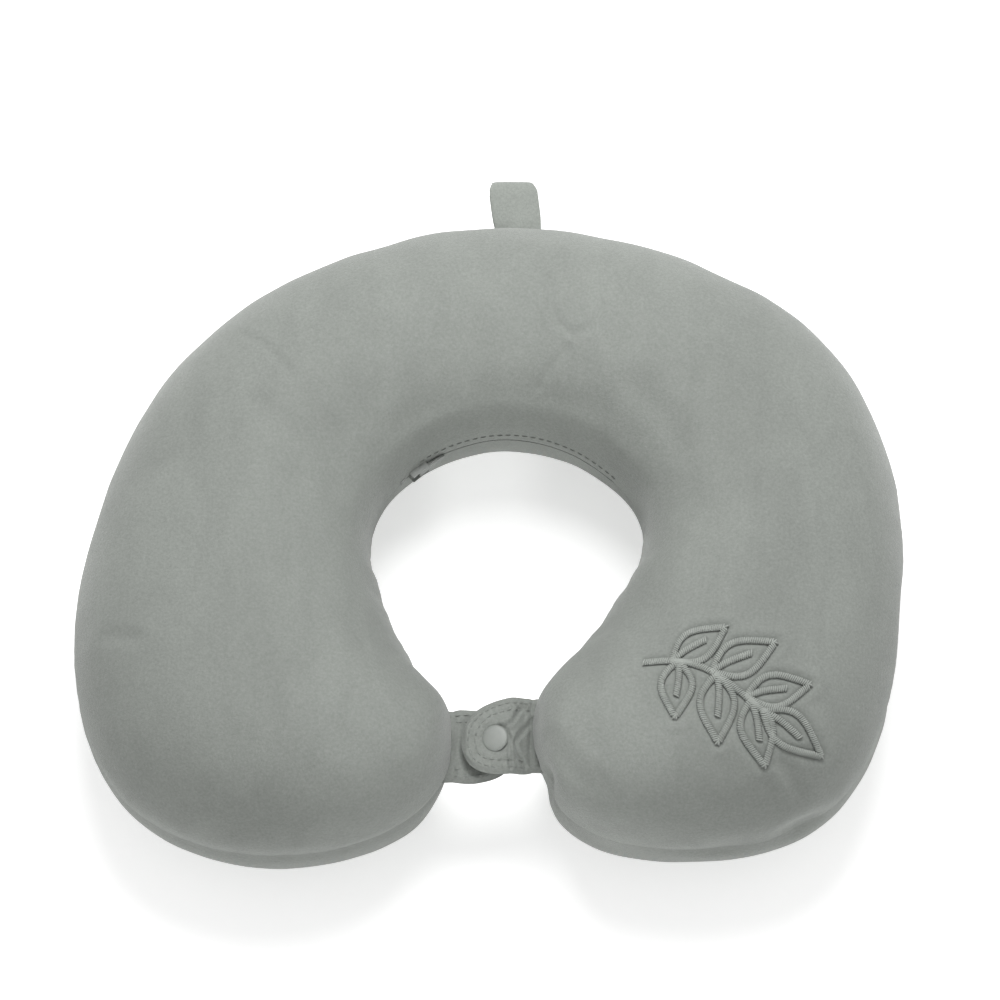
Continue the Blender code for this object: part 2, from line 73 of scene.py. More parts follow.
# %% A material and the helpers that wire its nodes
def new_finish(name, rough, specular=0.3, sheen=0.0, sheen_rough=0.5, metallic=0.0):
    material = bpy.data.materials.new(name)
    material.use_nodes = True
    shader = material.node_tree.nodes["Principled BSDF"]
    shader.inputs["Roughness"].default_value = rough
    shader.inputs["Specular IOR Level"].default_value = specular
    shader.inputs["Sheen Weight"].default_value = sheen
    shader.inputs["Sheen Roughness"].default_value = sheen_rough
    shader.inputs["Metallic"].default_value = metallic
    return material, shader


def add_node(material, kind, **settings):
    """A new node. A setting that names an input sets the socket, any other sets the node itself."""
    node = material.node_tree.nodes.new(kind)
    for key, value in settings.items():
        if key in node.inputs:
            node.inputs[key].default_value = value
        else:
            setattr(node, key, value)
    return node


def wire(material, output, target):
    material.node_tree.links.new(output, target)


def noise_of(material, scale, detail=3.0, roughness=0.5, stretch=None, distortion=0.0):
    """Noise on object coordinates, with stretch to draw it out along an axis."""
    place = add_node(material, "ShaderNodeTexCoord").outputs["Object"]
    if stretch:
        mapping = add_node(material, "ShaderNodeMapping", Scale=stretch)
        wire(material, place, mapping.inputs["Vector"])
        place = mapping.outputs["Vector"]
    texture = add_node(material, "ShaderNodeTexNoise")
    texture.inputs["Scale"].default_value = scale
    texture.inputs["Detail"].default_value = detail
    texture.inputs["Roughness"].default_value = roughness
    texture.inputs["Distortion"].default_value = distortion
    wire(material, place, texture.inputs["Vector"])
    return texture.outputs["Fac"]


def ramp_of(material, value, stops):
    """A colour ramp from (position, colour) stops."""
    ramp = add_node(material, "ShaderNodeValToRGB")
    bands = ramp.color_ramp.elements
    while len(bands) < len(stops):
        bands.new(0.5)
    for band, (position, colour) in zip(bands, stops):
        band.position = position
        band.color = (*colour, 1.0)
    wire(material, value, ramp.inputs["Fac"])
    return ramp.outputs["Color"]


def mixed(material, a, b, share, kind="MULTIPLY"):
    """Two colours combined, share being a number or a socket."""
    mix = add_node(material, "ShaderNodeMix", data_type="RGBA", blend_type=kind)
    if isinstance(share, float):
        mix.inputs[0].default_value = share
    else:
        wire(material, share, mix.inputs[0])
    wire(material, a, mix.inputs[6])
    wire(material, b, mix.inputs[7])
    return mix.outputs[2]


def bump_of(material, shader, height, strength, depth):
    bump = add_node(material, "ShaderNodeBump", Strength=strength, Distance=depth)
    wire(material, height, bump.inputs["Height"])
    wire(material, bump.outputs["Normal"], shader.inputs["Normal"])


# %% Velour, and the cloths that share its recipe
def grey(level):
    """The pillow's grey green at a brightness."""
    return (0.963 * level, 1.022 * level, 0.95 * level)


def velour(name, level, grain=900, wide=13, sheen=0.3, bump=0.55):
    material, shader = new_finish(name, 0.94, 0.12, sheen, 0.42)
    patches = ramp_of(material, noise_of(material, wide, 3.0, 0.55, distortion=0.4),
                      [(0.30, grey(level * 0.94)), (0.70, grey(level * 1.05))])
    strokes = ramp_of(material, noise_of(material, 60, 2.0, 0.5, (1.0, 0.35, 1.0), 0.8),
                      [(0.35, (0.97,) * 3), (0.65, (1.03,) * 3)])
    fibres = ramp_of(material, noise_of(material, grain, 4.0, 0.7),
                     [(0.28, (0.86,) * 3), (0.72, (1.12,) * 3)])
    colour = mixed(material, patches, strokes, 1.0)
    wire(material, mixed(material, colour, fibres, 1.0), shader.inputs["Base Color"])
    bump_of(material, shader, noise_of(material, grain * 1.1, 5.0, 0.75), bump, 0.0006)
    return material


VELOUR = velour("velour_plush", 0.252)
TAB_VELOUR = velour("velour_tabs", 0.250, wide=40)
# The loop's strip is the cover's velour painted lighter: painted light, for a loop that stands out into the
# light.
STRIP_VELOUR_PAINTED_LIGHTER = velour("velour_strip", 0.300, grain=1100, wide=60, sheen=0.25)
print("velour finishes:", VELOUR.name, TAB_VELOUR.name, STRIP_VELOUR_PAINTED_LIGHTER.name)

# %% Thread, jersey, foam, paper, tape, nylon, metal and snap plastic
def yarn(name, level, sheen=0.2):
    material, shader = new_finish(name, 0.62, 0.35, sheen, 0.3)
    tone = ramp_of(material, noise_of(material, 240, 3.0),
                   [(0.3, grey(level * 0.90)), (0.7, grey(level * 1.10))])
    wire(material, tone, shader.inputs["Base Color"])
    bump_of(material, shader, noise_of(material, 5200, 2.0), 0.4, 0.00008)
    return material


def woven(name, dark, light, threads, rough=0.85):
    """Crossing threads: two wave textures, one turned a quarter, in colour and in bump."""
    material, shader = new_finish(name, rough, 0.2, 0.1)
    place = add_node(material, "ShaderNodeTexCoord").outputs["Object"]
    waves = []
    for way in ("X", "Y"):
        wave = add_node(material, "ShaderNodeTexWave", bands_direction=way, Scale=threads, Distortion=0.6)
        wire(material, place, wave.inputs["Vector"])
        waves.append(wave.outputs["Color"])
    cross = mixed(material, waves[0], waves[1], 0.5, "MIX")
    wire(material, ramp_of(material, cross, [(0.2, dark), (0.8, light)]), shader.inputs["Base Color"])
    bump_of(material, shader, cross, 0.5, 0.0002)
    return material


def grained(name, low, high, scale, rough, specular, depth, metallic=0.0, strength=0.3):
    """A moulded, foamed or cast surface: a tone that wanders a little and a matching grain."""
    material, shader = new_finish(name, rough, specular, metallic=metallic)
    height = noise_of(material, scale, 4.0, 0.6)
    wire(material, ramp_of(material, height, [(0.3, low), (0.7, high)]), shader.inputs["Base Color"])
    bump_of(material, shader, height, strength, depth)
    return material


# The satin thread is lighter than the velour partly by its own tone and partly by painted highlight: its
# colour is raised to look as bright as its shine.
SATIN_PARTLY_PAINTED_HIGHLIGHT = yarn("embroidery_thread", 0.315, 0.35)
SEWING = yarn("sewing_thread", 0.19)
TAB_THREAD = yarn("tab_thread", 0.232)
JERSEY = woven("liner_jersey", (0.60, 0.60, 0.57), (0.74, 0.74, 0.71), 420)
FOAM = grained("foam_cells", (0.72, 0.68, 0.52), (0.84, 0.80, 0.66), 900, 0.95, 0.2, 0.0006, strength=0.8)
PAPER = grained("embroidery_backing", (0.74, 0.74, 0.72), (0.84, 0.84, 0.82), 700, 0.9, 0.2, 0.0001)
LABEL = woven("label_satin", (0.78, 0.78, 0.76), (0.88, 0.88, 0.87), 900, 0.5)
TAPE = woven("zip_tape_weave", (0.10, 0.11, 0.105), (0.19, 0.20, 0.19), 500)
NYLON = grained("zip_nylon", (0.13, 0.14, 0.13), (0.18, 0.19, 0.18), 600, 0.42, 0.5, 0.00004)
ENAMEL = grained("zip_enamel", grey(0.15), grey(0.19), 300, 0.38, 0.5, 0.00003, strength=0.15)
SNAP = grained("snap_plastic", (0.215, 0.230, 0.214), (0.235, 0.250, 0.233), 220, 0.42, 0.42, 0.00002,
               strength=0.1)
print(len(bpy.data.materials), "materials")

# %% [markdown]
# The cover is one soft skin over the filling. A skin made by hand would look moulded, so it is grown
# from the filling: the filling's own net is pushed out to where the cover lies, smoothed with a
# subdivision surface, and then blown up for a moment as cloth so that the seam draws real puckers.

# %% Helpers that make, bake and read meshes
def new_piece(name, points, faces, finish):
    """A smooth shaded mesh object at the origin, its place in its points."""
    mesh = bpy.data.meshes.new(name)
    mesh.from_pydata([tuple(map(float, p)) for p in points], [], [list(f) for f in faces])
    mesh.polygons.foreach_set("use_smooth", [True] * len(mesh.polygons))
    mesh.materials.append(finish)
    obj = bpy.data.objects.new(name, mesh)
    bpy.context.scene.collection.objects.link(obj)
    return obj


def bake(obj):
    """Turns what the modifiers make into the plain mesh of the object."""
    graph = bpy.context.evaluated_depsgraph_get()
    mesh = bpy.data.meshes.new_from_object(obj.evaluated_get(graph), depsgraph=graph)
    obj.modifiers.clear()
    obj.data = mesh
    return obj


def subdivide(obj, levels):
    rounder = obj.modifiers.new("rounder", "SUBSURF")
    rounder.levels = levels
    rounder.render_levels = levels
    return bake(obj)


def points_of(obj):
    flat = np.empty(len(obj.data.vertices) * 3)
    obj.data.vertices.foreach_get("co", flat)
    return flat.reshape(-1, 3)


def normals_of(obj):
    flat = np.empty(len(obj.data.vertices) * 3)
    obj.data.vertex_normals.foreach_get("vector", flat)
    return flat.reshape(-1, 3)


def set_points(obj, points):
    obj.data.vertices.foreach_set("co", np.asarray(points, np.float32).ravel())
    obj.data.update()


def face_outwards(piece, merge=0.0):
    """Turns the faces of a closed piece outwards, after merging points nearer than merge."""
    work = bmesh.new()
    work.from_mesh(piece.data)
    if merge:
        bmesh.ops.remove_doubles(work, verts=work.verts, dist=merge)
    bmesh.ops.recalc_face_normals(work, faces=work.faces)
    work.to_mesh(piece.data)
    work.free()


def smooth_step(t):
    t = np.clip(t, 0, 1)
    return t * t * (3 - 2 * t)


def spread(mesh, values, rounds):
    """Each point's values averaged with its neighbours', round after round."""
    ends = np.empty(len(mesh.edges) * 2, np.int32)
    mesh.edges.foreach_get("vertices", ends)
    a, b = ends.reshape(-1, 2).T
    count = np.bincount(a, minlength=len(values)) + np.bincount(b, minlength=len(values))
    for _ in range(rounds):
        total = np.zeros_like(values)
        np.add.at(total, a, values[b])
        np.add.at(total, b, values[a])
        values = 0.5 * values + 0.5 * total / count[:, None]
    return values


# %% Recover the net of the filling and push it out to the cover
def net_of(node):
    """A closed copy of a frame piece, its points merged and its triangles joined back into quads."""
    work = bmesh.new()
    work.from_mesh(frame["nodes"][node].data)
    bmesh.ops.remove_doubles(work, verts=work.verts, dist=1e-5)
    bmesh.ops.join_triangles(work, faces=work.faces, angle_face_threshold=1.4, angle_shape_threshold=1.4)
    work.normal_update()
    return work


def tree_of(*nodes):
    """One search tree over several frame pieces."""
    points, faces = [], []
    for node in nodes:
        mesh, start = frame["nodes"][node].data, len(points)
        points += [v.co.copy() for v in mesh.vertices]
        faces += [[start + i for i in p.vertices] for p in mesh.polygons]
    return BVHTree.FromPolygons(points, faces)


SEAM_Z = 46 * MM
NECK = np.array((8.4, -25.0)) * MM
NECK_RADIUS = 57.2 * MM
COVER_CLOTH = 1.2 * MM
ROUNDING = 0.7 * MM
cover_tree = tree_of("cover_top", "cover_bottom")
net = net_of("foam_core")
steps = {}
for vertex in net.verts:
    gap = cover_tree.find_nearest(vertex.co)[3]
    from_neck = math.hypot(vertex.co.x - NECK[0], vertex.co.y - NECK[1])
    at_neck = vertex.co.y > NECK[1] and from_neck < NECK_RADIUS + 12 * MM
    steps[vertex] = min(max(gap, 0.9 * MM), 4.0 * MM) + COVER_CLOTH + ROUNDING * (not at_neck)
for vertex in net.verts:
    vertex.co += vertex.normal * steps[vertex]
for edge in net.edges:
    edge.seam = all(abs(v.co.z - SEAM_Z) < 0.3 * MM for v in edge.verts)
skin = new_piece("skin", [], [], VELOUR)
net.to_mesh(skin.data)
print("seam edges:", sum(e.seam for e in net.edges), "of", len(net.edges))
net.free()
subdivide(skin, 2)
before = points_of(skin)
print("skin:", len(before), "points,", np.round((before.max(0) - before.min(0)) / MM, 1), "mm")

# %% Blow it up as cloth, then keep only the puckers
seam_edges = [e for e in skin.data.edges if e.use_seam]
seam_points = sorted({i for e in seam_edges for i in e.vertices})
at_zip = (np.hypot(*(before[:, :2] - NECK).T) < NECK_RADIUS + 9 * MM) & (before[:, 1] > NECK[1])


def puckers():
    """How far each point of the skin moves as the filling presses it out against its tight seam."""
    trial = skin.copy()
    trial.data = skin.data.copy()
    bpy.context.scene.collection.objects.link(trial)
    tight = trial.vertex_groups.new(name="tight")
    tight.add(seam_points, 1.0, "REPLACE")
    held = trial.vertex_groups.new(name="held")
    held.add([int(i) for i in np.nonzero(at_zip)[0]], 1.0, "REPLACE")
    cloth = trial.modifiers.new("cloth", "CLOTH").settings
    cloth.quality = 5
    cloth.mass = 0.25
    cloth.tension_stiffness = 12
    cloth.compression_stiffness = 12
    cloth.bending_stiffness = 0.3
    cloth.use_pressure = True
    cloth.uniform_pressure_force = 4
    cloth.effector_weights.gravity = 0
    cloth.vertex_group_mass = "held"
    cloth.vertex_group_shrink = "tight"
    cloth.shrink_min = -0.02
    cloth.shrink_max = 0.01
    for number in range(1, 21):
        bpy.context.scene.frame_set(number)
    bake(trial)
    moved = points_of(trial) - before
    bpy.data.objects.remove(trial)
    bpy.context.scene.frame_set(1)
    return moved


move = puckers()
print("cloth moved up to", round(float(np.linalg.norm(move, axis=1).max() / MM), 1), "mm")
KEEP_SWELL = 0.06
CAP = 1.6 * MM
swell = spread(skin.data, move, 50)
move = (move - swell) + KEEP_SWELL * swell
length = np.linalg.norm(move, axis=1)
move *= (np.minimum(length, CAP) / np.maximum(length, 1e-9))[:, None]
after = before + spread(skin.data, move, 1)
after[:, 2] = np.maximum(after[:, 2], 0.2 * MM)
set_points(skin, after)
skin_shift = spread(skin.data, after - before, 3)
skin_tree = KDTree(len(before))
for i, p in enumerate(before):
    skin_tree.insert(p, i)
skin_tree.balance()
print("kept up to", round(float(np.minimum(length, CAP).max() / MM), 1), "mm")

# %% [markdown]
# A stuffed pillow that has been handled is never even: a hand has pressed it, the pile keeps an
# imprint, the cloth folds where the arms bend. Each of these is a short named entry, a dent with a
# centre and a size or a crease with a path, and one function adds them up. Because it works on any
# points, the filling and the linings can be dented with the cover and never poke through.

# %% Dents and creases, in millimetres
DENTS = [  # centre, how far it reaches, how it pushes
    ((18, -113.5, 48), (12, 6.0, 20), (4.2, 0, 0)),
    ((20, -104.8, 21), (12, 4.8, 15), (4.4, 0, 0)),
    ((21.8, -112.4, 55), (3.2, 2.6, 6), (0.4, 1.3, -2.0)),
    ((24, -100, 60), (5, 12, 12), (0.5, 0, -0.8)),
    ((125, -132, 50), (13, 8, 9), (-0.6, 2.8, 0)),
    ((98, -142, 50), (16, 7, 10), (0, 1.4, 0)),
    ((-74, 107, 46), (15, 12, 30), (0.7, -1.6, 0)),
    ((-46, 116, 46), (11, 12, 30), (0.3, -1.5, 0)),
    ((48, 122, 46), (12, 12, 30), (0, -0.4, 0)),
    ((97, 103, 46), (11, 12, 30), (-0.5, -0.9, 0)),
    ((36, 80, 84), (15, 18, 22), (0, 0, -1.3)),
    ((-88, 55, 84), (22, 16, 22), (0, 0, -1.5)),
    ((-112, -30, 84), (18, 34, 26), (0.3, 0, -1.3)),
    ((118, 6, 84), (20, 30, 26), (0, 0, -1.2)),
    ((-42, -117, 66), (22, 14, 22), (0.8, 2.2, -1.7)),
    ((-96, -128, 70), (26, 14, 22), (0, 1.0, -1.0)),
    ((60, -60, 80), (12, 16, 26), (0.8, 0, -1.2)),
    ((0, 62, 88), (26, 14, 22), (0, 0, -0.8)),
]
CREASES = [  # path over the top, how wide, how deep
    ([(25, 88), (25.4, 76), (28, 67.7), (34, 63), (43, 66), (46, 75)], 1.6, 0.5),
    ([(32, 58), (25, 50), (21, 44)], 1.5, 0.4),
    ([(-98, 66), (-90, 60), (-83, 52), (-77, 44)], 1.8, 0.35),
    ([(-41.5, 66), (-40.5, 52), (-42, 38)], 3.2, 0.45),
    ([(-46, 60), (-46.5, 48)], 2.8, 0.35),
    ([(-56, -108), (-42, -117), (-29, -128)], 6.0, 0.7),
    ([(-49, -96), (-36, -108)], 5.0, 0.3),
    ([(24, -104), (33, -117), (44, -125)], 3.4, 1.3),
    ([(116, -116), (124, -126), (129, -133)], 3.0, 0.9),
    ([(110, -124), (114, -131)], 2.6, 0.7),
    ([(-150, -62), (-138, -66)], 3.0, 0.5),
    ([(58, 42), (70, 30), (76, 16)], 5.0, 0.6),
    ([(-64, 22), (-58, 4)], 5.0, 0.6),
    ([(-90, 32), (-76, 18), (-66, 12)], 4.5, 0.5),
    ([(143, 17), (146.5, 0)], 4.5, 0.5),
    ([(32, -104), (35, -120), (38, -128)], 3.5, 0.4),
]
DENT_FIRM, CREASE_FIRM = 1.3, 1.5  # how firmly all of them press


def near_path(places, path):
    """How far each place lies, in plan, from a path of straight pieces."""
    path = np.array(path) * MM
    best = np.full(len(places), 1e9)
    for a, b in zip(path, path[1:]):
        along = np.clip((places - a) @ (b - a) / ((b - a) @ (b - a)), 0, 1)
        best = np.minimum(best, np.hypot(*(places - a - along[:, None] * (b - a)).T))
    return best


def settled(points):
    """The points after every dent and crease has pressed on them."""
    moved = points.copy()
    for centre, reach, push in DENTS:
        away = (((points - np.array(centre) * MM) / (np.array(reach) * MM)) ** 2).sum(1)
        moved += np.exp(-away)[:, None] * np.array(push) * DENT_FIRM * MM
    top = smooth_step((points[:, 2] - 50 * MM) / (9 * MM))
    for path, width, depth in CREASES:
        across = near_path(points[:, :2], path) / (width * MM)
        profile = np.exp(-across ** 2) - 0.35 * np.exp(-((across - 1.9) / 0.9) ** 2)
        moved[:, 2] -= top * profile * depth * CREASE_FIRM * MM
    return moved


def follow(points):
    """Carries points under the cover along with the nearest points of the skin, then settles them."""
    moved = [p + np.mean([skin_shift[i] for _, i, _ in skin_tree.find_n(p, 4)], axis=0) for p in points]
    return settled(np.array(moved))


# %% Refine the skin, settle it, and let the cloth wander a little
subdivide(skin, 2)
seam_now = sorted({i for e in skin.data.edges if e.use_seam for i in e.vertices})
fine = settled(points_of(skin))
set_points(skin, fine)
out = normals_of(skin)
wander = np.array([noise.noise(Vector(p) * 34) + 0.5 * noise.noise(Vector(p) * 75 + Vector((7, 3, 1)))
                   for p in fine])
fine += out * (wander * 0.55 * MM)[:, None]
seam_tree = KDTree(len(seam_now))
for place, i in enumerate(seam_now):
    seam_tree.insert(fine[i], place)
seam_tree.balance()
reach = np.array([seam_tree.find(p)[2] for p in fine])
arc = np.degrees(np.arctan2(fine[:, 1] - NECK[1], fine[:, 0] - NECK[0]))
near_zip = np.hypot(*(fine[:, :2] - NECK).T) < NECK_RADIUS + 14 * MM
zip_share = near_zip * smooth_step((arc - 42) / 4) * smooth_step((138 - arc) / 5)
print("skin:", len(fine), "points; seam points:", len(seam_now), "of them at the zip:",
      int((zip_share[seam_now] > 0.5).sum()))

# %% [markdown]
# The two panels are sewn face to face and turned, so at the seam each one rolls inwards and a narrow
# groove is left. Each panel is its own piece here: the skin is split along the seam, the rim is drawn
# in to make the groove, and a curled allowance is added that runs in under the edge. Small uneven
# gathers beside the seam show where the thread pulls. At the zip the rims stay a little apart.

# %% Split the skin into a top and a bottom panel with rolled rims
GROOVE = 0.12 * MM
GROOVE_WIDE = 2.2 * MM
ZIP_PART = 0.38 * MM
roll = np.clip(1 - reach / GROOVE_WIDE, 0, 1)
gathers = np.array([noise.noise(Vector((p[0] * 260, p[1] * 260, 4.0))) for p in fine])
beside = np.exp(-((reach - 5 * MM) / (4.5 * MM)) ** 2)
depth_in = GROOVE * roll ** 2 * (1 - 0.8 * zip_share) + 0.30 * MM * gathers * beside * (1 - zip_share)
fine -= out * depth_in[:, None]
set_points(skin, fine)
seam_set = set(seam_now)


def above_seam(mesh):
    """The faces on the upper side: all that the topmost face reaches without crossing the seam."""
    beside_edge = {}
    for face in mesh.polygons:
        for key in face.edge_keys:
            beside_edge.setdefault(key, []).append(face.index)
    for edge in mesh.edges:
        if edge.use_seam:
            beside_edge.pop(tuple(sorted(edge.vertices)))
    start = max(mesh.polygons, key=lambda face: face.center.z).index
    reached, waiting = {start}, [start]
    while waiting:
        for key in mesh.polygons[waiting.pop()].edge_keys:
            for other in beside_edge.get(key, ()):
                if other not in reached:
                    reached.add(other)
                    waiting.append(other)
    return reached


upper_faces = above_seam(skin.data)
print("upper faces:", len(upper_faces), "of", len(skin.data.polygons))


ALLOWANCE = ((0.7, 0.10), (1.6, 0.45), (2.6, 0.9))  # how far in and how far off the seam, in mm


def make_panel(name, side):
    """One panel: its faces, its rim parted at the zip, and the allowance rolled inwards."""
    mesh = skin.data
    mine = [p for p in mesh.polygons if (p.index in upper_faces) == (side > 0)]
    used = sorted({i for p in mine for i in p.vertices})
    index = {old: new for new, old in enumerate(used)}
    places = fine[used].copy()
    faces = [[index[i] for i in p.vertices] for p in mine]
    rim = [i for i in used if i in seam_set]
    ring = {}
    inward = np.zeros_like(fine)
    flat = out * np.array((1, 1, 0))
    inward[rim] = -flat[rim] / np.maximum(np.linalg.norm(flat[rim], axis=1), 1e-6)[:, None]
    lift = side * ZIP_PART * zip_share
    for i in used:
        places[index[i], 2] += lift[i] * np.exp(-(reach[i] / (3 * MM)) ** 2)
    added = []
    start = len(used)
    for depth, rise in ALLOWANCE:
        for i in rim:
            ring[depth, i] = start + len(added)
            added.append(places[index[i]] + inward[i] * depth * MM + np.array((0, 0, side * rise * MM)))
    edges = [tuple(e.vertices) for e in mesh.edges if e.use_seam]
    sides = set()
    for face in mine:
        loop = list(face.vertices)
        sides.update(zip(loop, loop[1:] + loop[:1]))
    for a, b in edges:
        if (a, b) not in sides:
            a, b = b, a
        rows = [index] + [{i: ring[depth, i] for i in (a, b)} for depth, _ in ALLOWANCE]
        for outer_row, inner_row in zip(rows, rows[1:]):
            faces.append([outer_row[b], outer_row[a], inner_row[a], inner_row[b]])
    panel = new_piece(name, np.vstack([places, added]), faces, VELOUR)
    rim_points = {index[i] for i in rim}
    for edge in panel.data.edges:
        edge.use_edge_sharp = all(i in rim_points for i in edge.vertices)
    return panel


panels = {"top": make_panel("cover_top_panel", 1), "bottom": make_panel("cover_bottom_panel", -1)}
for side, panel in panels.items():
    print(side, "panel:", len(panel.data.polygons), "faces")
graph = bpy.context.evaluated_depsgraph_get()
panel_tree = {side: BVHTree.FromObject(panel, graph) for side, panel in panels.items()}

# %% [markdown]
# Thread work is one small thing laid again and again along a line: a stitch, a strand of satin, a turn
# of zip coil. Geometry Nodes fit that exactly. A path carries its own idea of up, each thing is
# turned so that it lies along the path with its top up, and a seeded wobble keeps the hand in it.

# %% The tree that lays things along a path
def path_tree():
    tree = bpy.data.node_groups.new("things_along_a_path", "GeometryNodeTree")
    tree.interface.new_socket("Path", in_out="INPUT", socket_type="NodeSocketGeometry")
    tree.interface.new_socket("Thing", in_out="INPUT", socket_type="NodeSocketObject")
    tree.interface.new_socket("Spacing", in_out="INPUT", socket_type="NodeSocketFloat")
    tree.interface.new_socket("Wobble", in_out="INPUT", socket_type="NodeSocketFloat")
    tree.interface.new_socket("Seed", in_out="INPUT", socket_type="NodeSocketInt")
    tree.interface.new_socket("Finish", in_out="INPUT", socket_type="NodeSocketMaterial")
    tree.interface.new_socket("Result", in_out="OUTPUT", socket_type="NodeSocketGeometry")
    new, link = tree.nodes.new, tree.links.new
    given = new("NodeGroupInput").outputs
    curve = new("GeometryNodeMeshToCurve")
    link(given["Path"], curve.inputs["Mesh"])
    even = new("GeometryNodeResampleCurve")
    even.mode = "LENGTH"
    link(curve.outputs["Curve"], even.inputs["Curve"])
    link(given["Spacing"], even.inputs["Length"])
    along = new("FunctionNodeAlignRotationToVector")
    along.axis = "X"
    link(new("GeometryNodeInputTangent").outputs["Tangent"], along.inputs["Vector"])
    up = new("GeometryNodeInputNamedAttribute")
    up.data_type = "FLOAT_VECTOR"
    up.inputs["Name"].default_value = "up"
    upright = new("FunctionNodeAlignRotationToVector")
    upright.axis = "Z"
    upright.pivot_axis = "X"
    link(along.outputs["Rotation"], upright.inputs["Rotation"])
    link(up.outputs["Attribute"], upright.inputs["Vector"])
    less = new("ShaderNodeMath")
    less.operation = "MULTIPLY"
    less.inputs[1].default_value = -1.0
    link(given["Wobble"], less.inputs[0])
    chance = new("FunctionNodeRandomValue")
    chance.data_type = "FLOAT_VECTOR"
    link(less.outputs[0], chance.inputs[0])
    link(given["Wobble"], chance.inputs[1])
    link(given["Seed"], chance.inputs["Seed"])
    turn = new("FunctionNodeEulerToRotation")
    link(chance.outputs[0], turn.inputs[0])
    wobbled = new("FunctionNodeRotateRotation")
    wobbled.rotation_space = "LOCAL"
    link(upright.outputs["Rotation"], wobbled.inputs[0])
    link(turn.outputs[0], wobbled.inputs[1])
    thing = new("GeometryNodeObjectInfo")
    link(given["Thing"], thing.inputs["Object"])
    laid = new("GeometryNodeInstanceOnPoints")
    link(even.outputs["Curve"], laid.inputs["Points"])
    link(thing.outputs["Geometry"], laid.inputs["Instance"])
    link(wobbled.outputs[0], laid.inputs["Rotation"])
    real = new("GeometryNodeRealizeInstances")
    link(laid.outputs["Instances"], real.inputs["Geometry"])
    painted = new("GeometryNodeSetMaterial")
    link(real.outputs["Geometry"], painted.inputs["Geometry"])
    link(given["Finish"], painted.inputs["Material"])
    link(painted.outputs["Geometry"], new("NodeGroupOutput").inputs["Result"])
    return tree


PATH_TREE = path_tree()


def lay_along(name, paths, thing, spacing, finish, wobble=0.0, seed=1):
    """One plain mesh of the thing laid along every path. A path is a pair of arrays: points and ups."""
    points, edges, ups = [], [], []
    for places, tops in paths:
        start = len(points)
        points += [tuple(p) for p in places]
        ups += [tuple(u) for u in tops]
        edges += [(start + i, start + i + 1) for i in range(len(places) - 1)]
    mesh = bpy.data.meshes.new(name)
    mesh.from_pydata(points, edges, [])
    up = mesh.attributes.new("up", "FLOAT_VECTOR", "POINT")
    up.data.foreach_set("vector", np.array(ups, np.float32).ravel())
    obj = bpy.data.objects.new(name, mesh)
    bpy.context.scene.collection.objects.link(obj)
    layer = obj.modifiers.new("layer", "NODES")
    layer.node_group = PATH_TREE
    sockets = {s.name: s.identifier for s in PATH_TREE.interface.items_tree if s.in_out == "INPUT"}
    values = {"Thing": thing, "Spacing": spacing, "Wobble": wobble, "Seed": seed, "Finish": finish}
    for label, value in values.items():
        layer[sockets[label]] = value
    bake(obj)
    print(name, len(obj.data.polygons), "faces")
    return obj


# %% Small things to lay: a stitch, a strand of satin, a turn of coil
def small_rod(name, spine, thick, sides=6):
    """A thread bent along a short spine of points, its ends closed; thick is one radius for each."""
    spine = np.array(spine) * MM
    points, faces = [], []
    for i, centre in enumerate(spine):
        ahead = spine[min(i + 1, len(spine) - 1)] - spine[max(i - 1, 0)]
        ahead /= np.linalg.norm(ahead)
        side = np.cross(ahead, (0, 0, 1.0) if abs(ahead[2]) < 0.9 else (1.0, 0, 0))
        side /= np.linalg.norm(side)
        other = np.cross(side, ahead)
        for k in range(sides):
            angle = 2 * math.pi * k / sides
            points.append(centre + thick[i] * MM * (side * math.cos(angle) - other * math.sin(angle)))
    for i in range(len(spine) - 1):
        for k in range(sides):
            a, b = i * sides + k, i * sides + (k + 1) % sides
            faces.append((a, b, b + sides, a + sides))
    faces.append(tuple(reversed(range(sides))))
    faces.append(tuple(range((len(spine) - 1) * sides, len(spine) * sides)))
    rod = new_piece(name, points, faces, SEWING)
    face_outwards(rod)
    return rod


STITCH = small_rod("stitch",
                   [(-1.15, 0, -0.35), (-0.8, 0, 0.02), (0, 0, 0.14), (0.8, 0, 0.02), (1.15, 0, -0.35)],
                   [0.10, 0.24, 0.30, 0.24, 0.10])
STRAND = small_rod("strand", [(0.40 * math.cos(t), 1.36 * math.cos(t), 1.05 * math.sin(t) - 0.12)
                              for t in np.linspace(0.05, math.pi - 0.05, 8)],
                   [0.18, 0.32, 0.38, 0.38, 0.38, 0.38, 0.32, 0.18], 5)
print("a strand has", len(STRAND.data.polygons), "faces")

# %% [markdown]
# The right lobe carries raised satin embroidery. Here it is a leafy sprig of our own drawing: a bent
# stem with leaves left and right, each an outline with a midrib. Every line is a low padded cord with
# hundreds of strands laid across it, and the plush between the lines is drawn down and puffs up.

# %% Draw the sprig flat, then drop it onto the lobe
SPRIG_CENTRE = np.array((97.0, -93.0))
SPRIG_TURN = math.radians(-33)


def bent(a, b, bow, count=14):
    """Points from a to b in the plane, bowed sideways like a leaf's edge."""
    a, b = np.array(a, float), np.array(b, float)
    side = np.array((-(b - a)[1], (b - a)[0]))
    t = np.linspace(0, 1, count)[:, None]
    return a + (b - a) * t + side * bow * np.sin(np.pi * t) * (1 + 0.25 * np.cos(np.pi * t))


def leaf(foot, angle, long, wide):
    """Two bowed edges that meet in a tip, and a shorter midrib."""
    heading = np.array((math.cos(angle), math.sin(angle)))
    tip = np.array(foot) + heading * long
    rim = np.vstack([bent(foot, tip, wide / long), bent(foot, tip, -wide / long)[::-1][1:]])
    return [rim, bent(foot, np.array(foot) + heading * long * 0.62, 0.05, 6)]


